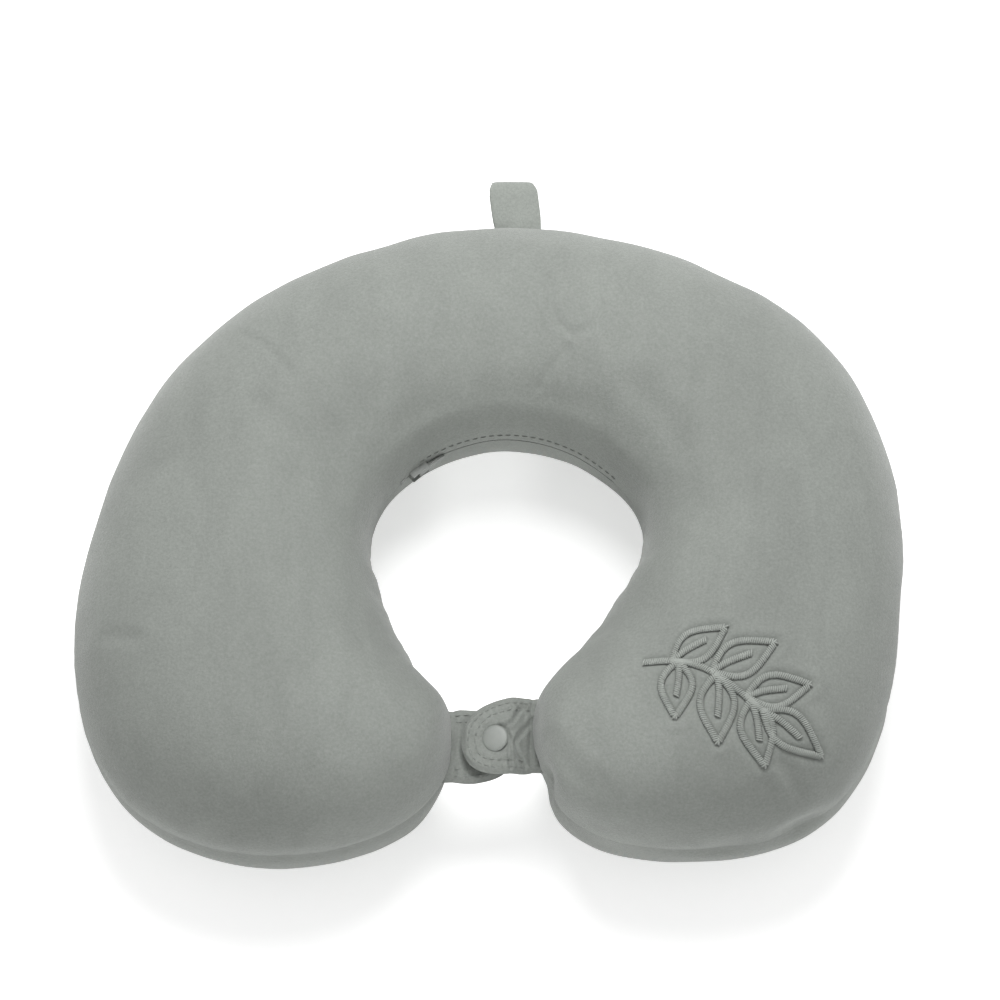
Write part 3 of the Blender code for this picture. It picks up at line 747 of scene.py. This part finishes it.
def sprig():
    """Every line of the motif in millimetres about its centre, the stem running along x."""
    stem = bent((-38, -6), (12, 2), 0.12, 26)
    lines = [stem]
    for share, lean, long, wide in ((0.20, 66, 25, 6.2), (0.24, -60, 23, 6.0), (0.52, 60, 28, 6.8),
                                    (0.56, -56, 27, 6.6), (0.86, 48, 26, 6.2), (0.90, -44, 25, 6.2),
                                    (1.0, 2, 27, 6.6)):
        at = stem[int(share * (len(stem) - 1))]
        lines += leaf(at, math.radians(lean), long, wide)
    return lines


def on_lobe(line):
    """A flat line turned, moved over the lobe and dropped onto the cover: its points and their ups."""
    cos, sin = math.cos(SPRIG_TURN), math.sin(SPRIG_TURN)
    turn = np.array(((cos, -sin), (sin, cos)))
    places, ups = [], []
    for x, y in line @ turn.T + SPRIG_CENTRE:
        hit = panel_tree["top"].ray_cast(Vector((x, y, 140)) * MM, Vector((0, 0, -1)))
        places.append(np.array(hit[0]))
        ups.append(np.array(hit[1]))
    smooth = np.array(ups)
    for _ in range(3):
        smooth[1:-1] = (smooth[:-2] + 2 * smooth[1:-1] + smooth[2:]) / 4
    return np.array(places), smooth / np.linalg.norm(smooth, axis=1)[:, None]


sprig_paths = [on_lobe(line) for line in sprig()]
print("sprig lines:", len(sprig_paths), "total", round(sum(
    np.linalg.norm(np.diff(p, axis=0), axis=1).sum() for p, _ in sprig_paths) / MM), "mm")

# %% Draw the plush down beside the thread, then lay the cords and strands
def quilt(panel, paths):
    """Sinks the cloth close to the lines and lets it rise between them."""
    tree = KDTree(sum(4 * len(p) for p, _ in paths))
    count = 0
    for places, _ in paths:
        for a, b in zip(places, places[1:]):
            for share in (0, 0.25, 0.5, 0.75):
                tree.insert(a + (b - a) * share, count)
                count += 1
    tree.balance()
    points, normals = points_of(panel), normals_of(panel)
    low, high = np.min([p.min(0) for p, _ in paths], 0), np.max([p.max(0) for p, _ in paths], 0)
    close = np.nonzero(((points > low - 9 * MM) & (points < high + 9 * MM)).all(1))[0]
    for i in close:
        away = tree.find(points[i])[2] / MM
        sink = 0.75 * math.exp(-(away / 1.9) ** 2) - 0.55 * math.exp(-((away - 4.2) / 2.2) ** 2)
        points[i] -= normals[i] * sink * MM
    set_points(panel, points)


def padded_cord(name, paths, half, high, finish, sides=8):
    """A low rounded cord along each path, half its width by its height."""
    points, faces = [], []
    for places, ups in paths:
        start = len(points)
        for i, (centre, up) in enumerate(zip(places, ups)):
            ahead = places[min(i + 1, len(places) - 1)] - places[max(i - 1, 0)]
            side = np.cross(ahead, up)
            side /= max(np.linalg.norm(side), 1e-9)
            taper = 0.6 if i in (0, len(places) - 1) else 1.0
            for k in range(sides):
                angle = 2 * math.pi * k / sides
                points.append(centre + side * half * taper * math.cos(angle) * MM
                              + up * high * taper * math.sin(angle) * MM)
        for i in range(len(places) - 1):
            for k in range(sides):
                a, b = start + i * sides + k, start + i * sides + (k + 1) % sides
                faces.append((a, a + sides, b + sides, b))
        faces.append(tuple(start + k for k in range(sides)))
        faces.append(tuple(start + (len(places) - 1) * sides + k for k in reversed(range(sides))))
    return new_piece(name, points, faces, finish)


quilt(panels["top"], sprig_paths)
sprig_cord = padded_cord("sprig_padding", sprig_paths, 1.15, 0.75, SATIN_PARTLY_PAINTED_HIGHLIGHT)
sprig_threads = lay_along("sprig_satin", sprig_paths, STRAND, 0.84 * MM, SATIN_PARTLY_PAINTED_HIGHLIGHT, 0.07, 7)

# %% Topstitch along the nape, just above the zip
STITCH_SPACING = 3.3 * MM


def nape_row(height):
    """A row on the neck side of the nape, found by looking outwards from the middle of the neck."""
    places, ups = [], []
    for angle in np.radians(np.linspace(126, 44, 60)):
        heading = Vector((math.cos(angle), math.sin(angle), 0))
        hit = panel_tree["top"].ray_cast(Vector((*NECK, height * MM)), heading)
        if hit[0] is not None:
            places.append(np.array(hit[0]) + 0.15 * MM * np.array(hit[1]))
            ups.append(np.array(hit[1]))
    return np.array(places), np.array(ups)


nape_stitches = lay_along("nape_topstitch", [nape_row(51.2)], STITCH, STITCH_SPACING, SEWING, 0.08, 3)

# %% [markdown]
# Inside the cover lie the foam, its two jersey linings, the embroidery's backing and the care label.
# They are hardly seen, yet a reader who lifts a panel finds them, so each keeps its own shape from the
# frame, rounded by subdivision (the label not at all), and is carried along with the cover so that nothing
# shows through.

# %% Round and carry the inner pieces
def inner_piece(node, name, levels, finish, sink=0.0):
    piece = new_piece(name, [], [], finish)
    net = net_of(node)
    net.to_mesh(piece.data)
    net.free()
    if levels:
        subdivide(piece, levels)
    piece.data.polygons.foreach_set("use_smooth", [True] * len(piece.data.polygons))
    piece.data.materials.clear()
    piece.data.materials.append(finish)
    set_points(piece, follow(points_of(piece)) - (0, 0, sink))
    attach(piece, "pillow")
    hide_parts(node)
    print(name, len(piece.data.polygons), "faces")
    return piece


foam = inner_piece("foam_core", "foam_filling", 1, FOAM)
for side in ("top", "bottom"):
    inner_piece("liner_" + side, "jersey_liner_" + side, 1, JERSEY)
inner_piece("embroidery_backing", "tear_away_backing", 2, PAPER, 1.5 * MM)
inner_piece("care_label", "blank_care_label", 0, LABEL)
for side, panel in panels.items():
    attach(panel, "pillow")
    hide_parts("cover_" + side)
for piece, slot in ((sprig_cord, "embroidery_thread"), (sprig_threads, "embroidery_thread"),
                    (nape_stitches, "velour")):
    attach(piece, "pillow")
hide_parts("embroidery")

# %% [markdown]
# Two tabs close the mouth of the pillow. Each is sewn from two thin layers of the same velour with a
# little wadding, turned and topstitched twice round its edge, so it is puffy, its edge is round and it
# folds where it leaves the lobe. A tab is drawn as a grid from its root to its half round end; the
# folds are creases in the grid. Its root runs into the lobe's seam at its hinge.

# %% A tab's grid and its folds
JOINTS = {joint["name"]: joint for joint in frame["joints"]}
SNAP_AXIS = (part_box("snap_stud")[0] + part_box("snap_stud")[1]) / 2
CLAMPED = 5.6 * MM
UPPER_HINGE = np.array(JOINTS["upper_tab_lift"]["pos_m"])
LOWER_HINGE = np.array(JOINTS["lower_tab_drop"]["pos_m"])
UPPER_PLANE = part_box("upper_tab_face")[1].z - 1.7 * MM
LOWER_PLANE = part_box("lower_tab_back")[0].z + 1.7 * MM
TAB_COLUMNS, TAB_ROWS = 96, 64
TUCKED = 5.5 * MM
UPPER_FOLDS = [
    ([(5.0, -89.6), (7.2, -90.2), (10.3, -87.6), (13.1, -81.9)], 0.75, 0.95),
    ([(18.7, -85.1), (14.2, -91.0), (10.9, -96.3), (12.0, -100.5), (14.8, -105.8)], 0.8, 1.05),
    ([(7.6, -90.8), (9.2, -95.0), (8.6, -101.2), (9.2, -107.1)], 0.75, 0.8),
    ([(18.2, -77), (17.8, -86), (17.2, -96.5), (17.2, -104.5)], 0.9, 0.9),
]
LOWER_FOLDS = [
    ([(-13.4, -82.5), (-13.6, -96), (-13.3, -108)], 1.5, 0.8),
    ([(-10.5, -84), (-10.2, -94), (-9.2, -104)], 1.6, 0.35),
]


def tab_grid(hinge, toward, reach, wide, droop, plane, folds):
    """The middle surface of a tab as rows of points, and how full each point is, from 0 at the edge."""
    grid = np.zeros((TAB_COLUMNS, TAB_ROWS, 3))
    full = np.zeros((TAB_COLUMNS, TAB_ROWS))
    for i, t in enumerate(np.linspace(0, 1, TAB_COLUMNS)):
        far = (1 - (1 - t) ** 1.7) * (reach + TUCKED) - TUCKED
        share = max(far / reach, 0)
        round_end = (1 - share ** 4.2) ** 0.5 if share < 1 else 0
        waist = 0.93 if far < 0 else 1 - 0.07 * math.exp(-far / 0.004)
        half = wide * (1 - 0.10 * share) * max(round_end, 0.02) * waist
        for k, v in enumerate(np.sin(np.linspace(-1, 1, TAB_ROWS) * math.pi / 2)):
            step = float(smooth_step((far - 0.5 * MM) / (9 * MM)))
            z = SEAM_Z + (plane - SEAM_Z) * step
            grid[i, k] = (hinge[0] + toward * far, hinge[1] + droop * share + half * v, z)
            edge = min((1 - abs(v)) * half, (1 - share) * reach if share > 0.5 else 1)
            full[i, k] = float(smooth_step((edge + 0.2 * MM) / (2.6 * MM)))
    flat = grid.reshape(-1, 3)
    for path, width, depth in folds:
        across = near_path(flat[:, :2], path) / (width * MM)
        flat[:, 2] -= (np.exp(-across ** 2) - 0.4 * np.exp(-((across - 2) / 1.0) ** 2)) * depth * MM
    flat[:, 2] += [0.45 * MM * noise.noise(Vector(p) * 120) for p in flat]
    from_snap = np.hypot(flat[:, 0] - SNAP_AXIS.x, flat[:, 1] - SNAP_AXIS.y)
    around = np.arctan2(flat[:, 1] - SNAP_AXIS.y, flat[:, 0] - SNAP_AXIS.x)
    ring = np.exp(-((from_snap - 8.4 * MM) / (2.0 * MM)) ** 2)
    flat[:, 2] += 0.22 * MM * ring * np.sin(around * 7 + 0.8) * (plane > SEAM_Z)
    squeezed = 1 - 0.42 * smooth_step((CLAMPED + 1.0 * MM - from_snap) / (2.2 * MM)) + 0.24 * ring
    full *= squeezed.reshape(full.shape)
    return flat.reshape(grid.shape), full


def tab_layer(name, grid, full, low, high, thin, finish):
    """A closed layer between two heights over the grid, drawn together to a thin rim at its edge."""
    low_side = grid + np.stack([np.zeros_like(full)] * 2 + [thin + (low - thin) * full], -1)
    high_side = grid + np.stack([np.zeros_like(full)] * 2 + [thin + (high - thin) * full], -1)
    columns, rows = full.shape
    points = np.vstack([low_side.reshape(-1, 3), high_side.reshape(-1, 3)])
    top = columns * rows
    faces = []
    for i in range(columns - 1):
        for k in range(rows - 1):
            a, b, c, d = i * rows + k, (i + 1) * rows + k, (i + 1) * rows + k + 1, i * rows + k + 1
            faces += [(top + a, top + b, top + c, top + d), (d, c, b, a)]
    ring = [i * rows for i in range(columns)] + [(columns - 1) * rows + k for k in range(1, rows)]
    ring += [i * rows + rows - 1 for i in range(columns - 2, -1, -1)] + [k for k in range(rows - 2, 0, -1)]
    for a, b in zip(ring, ring[1:] + ring[:1]):
        faces.append((a, b, top + b, top + a))
    piece = new_piece(name, points, faces, finish)
    face_outwards(piece)
    return piece


def evenly(line, gap):
    """The line again, its points a steady gap apart."""
    length = np.concatenate([[0], np.cumsum(np.linalg.norm(np.diff(line, axis=0), axis=1))])
    at = np.linspace(0, length[-1], max(int(length[-1] / gap), 2))
    return np.stack([np.interp(at, length, column) for column in line.T], -1)


def edge_row(grid, layer, inset, side):
    """A topstitch row on a layer, a steady inset in from the tab's free edge."""
    rim = evenly(np.vstack([grid[14:, 0], grid[:13:-1, -1]])[:, :2], 0.8 * MM)
    ahead = np.gradient(rim, axis=0)
    for _ in range(6):
        ahead[1:-1] = (ahead[:-2] + ahead[1:-1] + ahead[2:]) / 3
    ahead /= np.linalg.norm(ahead, axis=1)[:, None]
    inward = np.stack([-ahead[:, 1], ahead[:, 0]], -1)
    if ((grid.reshape(-1, 3)[:, :2].mean(0) - rim) * inward).sum() < 0:
        inward = -inward
    tree = BVHTree.FromObject(layer, bpy.context.evaluated_depsgraph_get())
    places, ups = [], []
    for x, y in rim + inward * inset:
        hit = tree.ray_cast(Vector((x, y, SEAM_Z + side * 60 * MM)), Vector((0, 0, -side)))
        if hit[0] is not None and hit[1].z * side > 0.3:
            places.append(np.array(hit[0]))
            ups.append(np.array(hit[1]))
    return np.array(places), np.array(ups)


# %% Make both tabs, each with its face, its back and its rows of topstitch
def make_tab(word, hinge, toward, reach, wide, droop, plane, folds):
    grid, full = tab_grid(hinge, toward, reach, wide, droop, plane, folds)
    body = word + "_tab"
    face = tab_layer(body + "_face_velour", grid, full, 0.12 * MM, 1.75 * MM, 0.10 * MM, TAB_VELOUR)
    back = tab_layer(body + "_back_velour", grid, full, -1.75 * MM, -0.12 * MM, -0.10 * MM, TAB_VELOUR)
    rows = [edge_row(grid, face, inset * MM, 1) for inset in (2.6, 5.4)]
    under = [edge_row(grid, back, inset * MM, -1) for inset in (2.6, 5.4)]
    stitches = lay_along(body + "_topstitch", rows + under, STITCH, 2.9 * MM, TAB_THREAD, 0.07, 11)
    for piece, node in ((face, "_tab_face"), (back, "_tab_back"), (stitches, None)):
        if node:
            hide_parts(word + node)
        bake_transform(piece)
    return face


upper_face = make_tab("upper", UPPER_HINGE, -1, 28 * MM, 16.6 * MM, -4.2 * MM, UPPER_PLANE, UPPER_FOLDS)
make_tab("lower", LOWER_HINGE, 1, 26.2 * MM, 16 * MM, 1.6 * MM, LOWER_PLANE, LOWER_FOLDS)
print("tabs at", round(UPPER_PLANE / MM, 2), "and", round(LOWER_PLANE / MM, 2), "mm")

# %% [markdown]
# The snap is four moulded plastic pieces: a domed cap and a socket clamp the upper tab between them, a
# stud and a flat back cap clamp the lower one. Each is a turned shape, so a profile spun round its
# upright axis gives it, with soft corners where the mould rounds them.

# %% Turn the snap's pieces
def rounded(profile, rounds=2):
    """Corner cutting: each pass replaces a corner with two points, the ends staying put."""
    for _ in range(rounds):
        kept = [profile[0]]
        for (r0, z0), (r1, z1) in zip(profile, profile[1:]):
            kept += [(0.75 * r0 + 0.25 * r1, 0.75 * z0 + 0.25 * z1),
                     (0.25 * r0 + 0.75 * r1, 0.25 * z0 + 0.75 * z1)]
        profile = kept + [profile[-1]]
    return profile


def turned_piece(name, node, profile, body, low, tilt=0.0, wide=1.0):
    """Spins a profile of (radius, height) in millimetres about the snap's axis, height from the level low."""
    profile = rounded(profile)
    sides, points, faces, rings = 48, [], [], []
    for radius, height in profile:
        if radius < 1e-6:
            rings.append([len(points)] * sides)
            points.append((0, 0, height))
            continue
        rings.append(list(range(len(points), len(points) + sides)))
        for angle in [2 * math.pi * k / sides for k in range(sides)]:
            points.append((radius * wide * math.cos(angle), radius * math.sin(angle), height))
    for lower, upper in zip(rings, rings[1:]):
        for k in range(sides):
            face = tuple(dict.fromkeys((lower[k], lower[(k + 1) % sides], upper[(k + 1) % sides], upper[k])))
            if len(face) > 2:
                faces.append(face)
    turn = Matrix.Rotation(math.radians(tilt), 4, "Y")
    points = [turn @ Vector(p) * MM + Vector((SNAP_AXIS.x, SNAP_AXIS.y, low)) for p in points]
    piece = new_piece(name, points, faces, SNAP)
    face_outwards(piece, 1e-6)
    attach(piece, body)
    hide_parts(node)
    return piece


def thick_of(node):
    return (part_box(node)[1].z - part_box(node)[0].z) / MM


cap_high, socket_high = thick_of("snap_cap"), thick_of("snap_socket")
stud_high, back_high = thick_of("snap_stud"), thick_of("snap_back_cap")
print("snap heights:", [round(h, 2) for h in (cap_high, socket_high, stud_high, back_high)])
cap = turned_piece("snap_cap_dome", "snap_cap",
             [(0, 0), (4.9, 0), (5.5, 0.2), (5.5, 0.6), (4.9, 0.95), (3.6, 1.15), (1.8, 1.25), (0, 1.28)],
             "upper_tab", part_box("snap_cap")[1].z - 1.75 * MM, -9, 0.93)
for part in (cap, upper_face):
    print(part.name, np.round(points_of(part).min(0) / MM, 1), np.round(points_of(part).max(0) / MM, 1))
turned_piece("snap_socket_ring", "snap_socket",
             [(1.6, 0.05), (2.4, 0), (4.6, 0), (4.9, 0.3), (4.9, socket_high), (1.6, socket_high),
              (1.6, 0.05)],
             "upper_tab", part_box("snap_socket")[0].z)
turned_piece("snap_stud_post", "snap_stud",
             [(0, 0), (4.6, 0), (4.8, 0.4), (4.6, 0.7), (1.5, 0.75), (1.25, stud_high * 0.7),
              (1.45, stud_high * 0.9), (1.1, stud_high), (0, stud_high)], "lower_tab",
             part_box("snap_stud")[0].z)
turned_piece("snap_back_cap_disc", "snap_back_cap",
             [(0, 0.12), (3.4, 0), (4.6, 0.1), (5.2, 0.5), (5.0, 1.2), (0, 1.2)], "lower_tab",
             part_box("snap_back_cap")[0].z)

# %% [markdown]
# The hanging loop is one strip of the velour, folded back on itself and caught in the seam behind the
# nape. The fold stays fat because the cloth springs, its sides roll in slightly, and it leans a little.

# %% Fold the strip
LOOP_LOW, LOOP_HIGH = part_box("hang_loop")
LOOP_HINGE = np.array(JOINTS["loop_flap"]["pos_m"])
LOOP_LEAN = math.radians(-7)


def folded_strip():
    """The strip's middle line up over the fold and back, swept across its width with rolled edges."""
    half_gap, thick, long = 2.0 * MM, 1.25 * MM, LOOP_HIGH.y - LOOP_HINGE[1] + 1.4 * MM
    tucked = 5 * MM
    line = [(-tucked, 0.7 * MM), (0.0, 0.8 * MM), (4 * MM, half_gap), (long - 6 * MM, half_gap + 1.0 * MM)]
    bend_middle = long - 3.6 * MM
    for angle in np.linspace(70, -70, 9):
        line.append((bend_middle + 2.9 * MM * math.cos(math.radians(angle)),
                     2.9 * MM * math.sin(math.radians(angle))))
    line += [(y, -z) for y, z in reversed(line[:4])]
    line = evenly(np.array(line), 0.8 * MM)
    for _ in range(4):
        line[1:-1] = (line[:-2] + 2 * line[1:-1] + line[2:]) / 4
    ahead = np.gradient(line, axis=0)
    ahead /= np.linalg.norm(ahead, axis=1)[:, None]
    outward = np.stack([-ahead[:, 1], ahead[:, 0]], -1)
    wide = (LOOP_HIGH.x - LOOP_LOW.x) / 2
    middle = (LOOP_HIGH.x + LOOP_LOW.x) / 2 + 1.3 * MM
    columns = np.sin(np.linspace(-1, 1, 25) * math.pi / 2)
    points = []
    for layer in (1, -1):
        for (y, z), (ny, nz) in zip(line, outward):
            corner = 1.6 * MM * float(smooth_step((y - long + 5.5 * MM) / (5 * MM)))
            pinch = 0.5 * MM * math.exp(-((y - 1 * MM) / (4 * MM)) ** 2)
            for v in columns:
                body = math.sqrt(max(1 - abs(v) ** 6, 0.02)) * thick / 2 * layer
                x = v * (wide - corner - pinch)
                puff = 0.3 * MM * (1 - v * v) * (1 if z > 0 else -1)
                across = (y + ny * body, z + nz * body + puff)
                lean = math.sin(LOOP_LEAN) * max(across[0], 0)
                points.append((middle + x + lean, LOOP_HINGE[1] + across[0], SEAM_Z + across[1]))
    return np.array(points), len(line), len(columns)


def make_loop():
    points, long, wide = folded_strip()
    points += [[0, 0, 0.25 * MM * noise.noise(Vector(p) * 130)] for p in points]
    layer = long * wide
    faces = []
    for i in range(long - 1):
        for k in range(wide - 1):
            a, b, c, d = i * wide + k, (i + 1) * wide + k, (i + 1) * wide + k + 1, i * wide + k + 1
            faces += [(a, b, c, d), (layer + d, layer + c, layer + b, layer + a)]
        for k in (0, wide - 1):
            a, b = i * wide + k, (i + 1) * wide + k
            faces.append((a, b, layer + b, layer + a))
    for i in (0, long - 1):
        for k in range(wide - 1):
            a, b = i * wide + k, i * wide + k + 1
            faces.append((a, b, layer + b, layer + a))
    # The strip's lighter colour is painted light on the same velour, not a different cloth.
    strip = new_piece("hang_loop_strip", points, faces, STRIP_VELOUR_PAINTED_LIGHTER)
    face_outwards(strip)
    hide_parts("hang_loop")
    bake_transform(strip)
    return strip


loop = make_loop()
print("loop:", len(loop.data.polygons), "faces")

# %% [markdown]
# The zip lies in the nape's seam behind the parted rims: two woven tapes, a chain of nylon coil turns
# on each, stops at the ends, and an enamelled slider with a pull. The coils repeat along an arc, so
# the path tree lays them; the tapes keep the frame's own shape, and so does the metal.

# %% Zip tapes, coils and metal
for row in ("upper", "lower"):
    tape = new_piece("woven_tape_" + row, [], [], TAPE)
    net = net_of("zip_tape_" + row)
    net.to_mesh(tape.data)
    net.free()
    tape.data.materials.clear()
    tape.data.materials.append(TAPE)
    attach(tape, "pillow")
    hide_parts("zip_tape_" + row)

COIL_TURN = small_rod("coil_turn",
                      [(-0.1, -0.75, 0.0), (-0.1, -0.6, 0.42), (0.0, 0, 0.55), (0.1, 0.6, 0.42),
                       (0.1, 0.75, 0.0), (0.0, 0.5, -0.45), (0.0, -0.5, -0.45), (-0.1, -0.7, -0.1)],
                      [0.20, 0.24, 0.24, 0.24, 0.24, 0.24, 0.24, 0.20])
for row, shift in (("upper", 0.0), ("lower", 0.6)):
    low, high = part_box("zip_coil_" + row)
    mesh = frame["nodes"]["zip_coil_" + row].data
    coil_points = np.array([v.co for v in mesh.vertices])
    radius = np.hypot(*(coil_points[:, :2] - NECK).T)
    angles = np.degrees(np.arctan2(*(coil_points[:, :2] - NECK).T[::-1]))
    middle = (radius.min() + radius.max()) / 2
    arcs = np.radians(np.linspace(angles.max() - 0.4 - shift, angles.min() + 0.4, 90))
    places = np.array([(NECK[0] + middle * math.cos(a), NECK[1] + middle * math.sin(a), (low.z + high.z) / 2)
                       for a in arcs])
    outward = np.array([(-math.cos(a), -math.sin(a), 0) for a in arcs])
    coil = lay_along("nylon_coil_" + row, [(places, outward)], COIL_TURN, 1.25 * MM, NYLON, 0.02, 5)
    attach(coil, "pillow")
    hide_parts("zip_coil_" + row)
for node in ("zip_slider", "zip_pull", "zip_top_stop_upper", "zip_top_stop_lower", "zip_bottom_stop"):
    mesh = frame["nodes"][node].data
    mesh.materials.clear()
    mesh.materials.append(ENAMEL)
for thing in (STITCH, STRAND, COIL_TURN, skin):
    bpy.data.objects.remove(thing)

# %% [markdown]
# The stage is a plain pale floor that glows a little, so that it stays near white, a wide soft light
# from beyond the nape, a weaker one from the front, a narrow beam on the wall of the neck opening and
# a bright even sky. The camera looks steeply down with a long lens, so the shape isn't stretched.

# %% Floor, lights and camera
def make_floor():
    half = 3.0
    floor = new_piece("floor", [(-half, -half, 0), (half, -half, 0), (half, half, 0), (-half, half, 0)],
                      [(0, 1, 2, 3)], None)
    material, shader = new_finish("pale_floor", 0.9, 0.1)
    shader.inputs["Base Color"].default_value = (0.93, 0.93, 0.93, 1)
    shader.inputs["Emission Color"].default_value = (1, 1, 1, 1)
    shader.inputs["Emission Strength"].default_value = 0.46
    floor.data.materials.clear()
    floor.data.materials.append(material)
    floor.location.z = -0.0003


def aimed(data, place, target):
    light = bpy.data.objects.new(data.name, data)
    light.location = place
    light.rotation_euler = (Vector(target) - Vector(place)).to_track_quat("-Z", "Y").to_euler()
    bpy.context.scene.collection.objects.link(light)


def soft_light(name, place, target, size, watts):
    data = bpy.data.lights.new(name, "AREA")
    data.shape = "DISK"
    data.size = size
    data.energy = watts
    aimed(data, place, target)


def nape_light():
    """A narrow soft beam over the tabs, so the wall of the neck opening isn't left in the dark."""
    data = bpy.data.lights.new("nape_beam", "SPOT")
    data.energy = 7
    data.spot_size = math.radians(17)
    data.spot_blend = 1
    data.shadow_soft_size = 0.06
    aimed(data, (0.02, -0.62, 0.36), (0, 0.035, 0.052))


def make_camera():
    target = Vector((5.1, 6.4, 50.0)) * MM
    rise = math.radians(70)
    data = bpy.data.cameras.new("camera")
    data.lens = 360
    data.sensor_width = 36
    data.clip_end = 50
    camera = bpy.data.objects.new("camera", data)
    away = Vector((0, -math.cos(rise), math.sin(rise)))
    camera.location = target + away * 4.0
    camera.rotation_euler = (-away).to_track_quat("-Z", "Y").to_euler()
    bpy.context.scene.collection.objects.link(camera)
    bpy.context.scene.camera = camera


make_floor()
soft_light("window", (0.03, 0.45, 0.98), (0, 0.03, 0.05), 0.65, 9.8)
soft_light("fill", (0.6, -1.6, 1.3), (0, 0, 0.05), 1.8, 0.6)
nape_light()
world = bpy.data.worlds.new("sky")
world.use_nodes = True
world.node_tree.nodes["Background"].inputs["Color"].default_value = (1, 1, 1, 1)
world.node_tree.nodes["Background"].inputs["Strength"].default_value = 0.58
bpy.context.scene.world = world
bpy.context.scene.view_settings.view_transform = "Standard"
make_camera()
